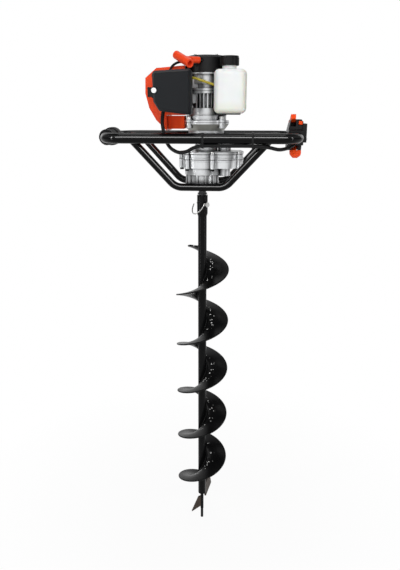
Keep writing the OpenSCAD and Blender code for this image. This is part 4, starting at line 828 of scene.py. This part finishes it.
screws("muffler_screws", corners("muffler_guard", 6.0 * MM), (0, 1, 0), 3.2, 2.6)
shroud_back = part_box("engine_shroud")[1].y
SHROUD_SCREWS = ((-122, 1334), (-118, 1282), (-58, 1363), (-58, 1265))
screws("shroud_screws", [(x * MM, shroud_back, z * MM) for x, z in SHROUD_SCREWS], (0, 1, 0), 4.0, 3.0)
shell_low, shell_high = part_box("throttle_shell_right")
shell_y = (shell_low.y + shell_high.y) / 2
SHELL_SCREWS = ((-22, -4), (20, -4), (0, 26))
shell_places = [(shell_high.x, shell_y + y * MM, (RING_Z + z) * MM) for y, z in SHELL_SCREWS]
screws("shell_screws", shell_places, (1, 0, 0), 3.4, 1.8)
starter_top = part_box("starter_housing")[1].z
STARTER_X = 10
STARTER_SCREWS_R = 37
starter_places = [((STARTER_X + STARTER_SCREWS_R * math.cos(a)) * MM, STARTER_SCREWS_R * math.sin(a) * MM,
                   starter_top) for a in (math.radians(45 + 90 * k) for k in range(4))]
screws("starter_screws", starter_places, (0, 0, 1), 3.6, 2.4)

# Ribs on the starter's top

RIB_COUNT = 16
RIB_START = 13
RIB_LEN = 17


def rib_width(share, angle):
    """Radius of a rib, drawn in at both ends."""
    return MM * (0.35 + 1.25 * math.sin(math.pi * share) ** 0.4)


ribs = []
for a in circle(RIB_COUNT):
    out = Vector((math.cos(a), math.sin(a), 0.0))
    middle = Vector((STARTER_X * MM, 0, starter_top))
    line = [middle + out * (MM * (RIB_START + RIB_LEN * i / 8)) for i in range(9)]
    ribs.append(tube_rings(line, rib_width, 10))
mesh_piece("starter_ribs", *gathered(ribs), black_plastic, "powerhead", "black_plastic")

# Weld beads between the plate and the guard tubes

WELD_Y = 66.9
WELD_Z = 1083.2
WELD_HALF = 40
WELD_STEPS = 120
WELD_R = 2.2 * MM
WELD_PULSE = 2.4 * MM


def plate_weld(name, y):
    """A rippled bead along one edge of the plate."""
    route = [Vector((-WELD_HALF + 2 * WELD_HALF * i / WELD_STEPS, y, WELD_Z)) * MM
             for i in range(WELD_STEPS + 1)]

    def lump(share, angle):
        pulse = abs(math.sin(share * route_length(route) / WELD_PULSE * math.pi))
        grain = noise.noise(Vector((share * 90.0, angle, WELD_R * 900.0)))
        return WELD_R * (0.75 + 0.3 * pulse + 0.15 * grain)

    mesh_piece(name, *lofted(tube_rings(route, lump, 8)), black_paint, "powerhead", "black_paint")


plate_weld("front_plate_weld", -WELD_Y)
plate_weld("rear_plate_weld", WELD_Y)

# Floor, backdrop and light


def stage_material(near, far):
    """White, with the object's soft shadow kept near it and plain white further off."""
    s = Shader("white_stage", Base_Color=(0.86, 0.86, 0.86, 1.0), Roughness=0.9, Specular_IOR_Level=0.0)
    path = s.node("ShaderNodeLightPath").outputs
    seen = s.pair("MAXIMUM", path["Is Camera Ray"], path["Is Glossy Ray"])
    seen = s.pair("MAXIMUM", seen, path["Is Transmission Ray"])
    length = s.node("ShaderNodeVectorMath", operation="LENGTH")
    s.link(s.coords.outputs["Object"], length.inputs[0])
    away = s.span(length.outputs["Value"], near, far, 0.94, 1.0)
    glow = s.node("ShaderNodeEmission")
    glow.inputs["Color"].default_value = (1.0, 1.0, 1.0, 1.0)
    glow.inputs["Strength"].default_value = 1.0
    blend = s.node("ShaderNodeMixShader")
    s.link(s.pair("MULTIPLY", seen, away), blend.inputs["Fac"])
    s.link(s.bsdf.outputs["BSDF"], blend.inputs[1])
    s.link(glow.outputs["Emission"], blend.inputs[2])
    s.link(blend.outputs["Shader"], s.tree.nodes["Material Output"].inputs["Surface"])
    return s.material


white_stage = stage_material(0.25, 0.9)
HALF = 7.0
WALL_Y = 4.5


def panel(name, points):
    """One flat panel of the stage."""
    return mesh_piece(name, points, [(0, 1, 2, 3)], white_stage, None, None, smooth=False)


floor = panel("floor", [(-HALF, -HALF, 0), (HALF, -HALF, 0), (HALF, HALF, 0), (-HALF, HALF, 0)])
wall = panel("backdrop", [(-HALF, WALL_Y, 0), (HALF, WALL_Y, 0), (HALF, WALL_Y, HALF),
                          (-HALF, WALL_Y, HALF)])

world = bpy.data.worlds.new("studio")
scene.world = world
world.use_nodes = True
sky = world.node_tree.nodes["Background"].inputs
sky["Color"].default_value = (1.0, 1.0, 1.0, 1.0)
sky["Strength"].default_value = 0.14


def softbox(name, place, aim, width, height, power):
    """A flat lamp that looks at a point."""
    lamp = bpy.data.lights.new(name, "AREA")
    lamp.shape = "RECTANGLE"
    lamp.size = width
    lamp.size_y = height
    lamp.energy = power
    holder = bpy.data.objects.new(name, lamp)
    holder.location = place
    holder.rotation_euler = (Vector(aim) - Vector(place)).to_track_quat("-Z", "Y").to_euler()
    scene.collection.objects.link(holder)


softbox("key", (0.05, -2.0, 2.3), (0.0, 0.0, 1.15), 3.4, 0.6, 32.0)
softbox("front_panel", (-0.3, -2.3, 1.15), (0.0, 0.0, 1.15), 3.0, 1.0, 13.0)
softbox("left_strip", (-1.9, -1.3, 1.1), (0.0, 0.0, 0.9), 0.16, 2.0, 13.0)
softbox("right_strip", (2.0, -1.0, 1.1), (0.0, 0.0, 0.9), 0.12, 2.0, 8.0)
softbox("overhead", (0.0, 0.2, 3.2), (0.0, 0.0, 1.0), 1.6, 1.6, 16.0)
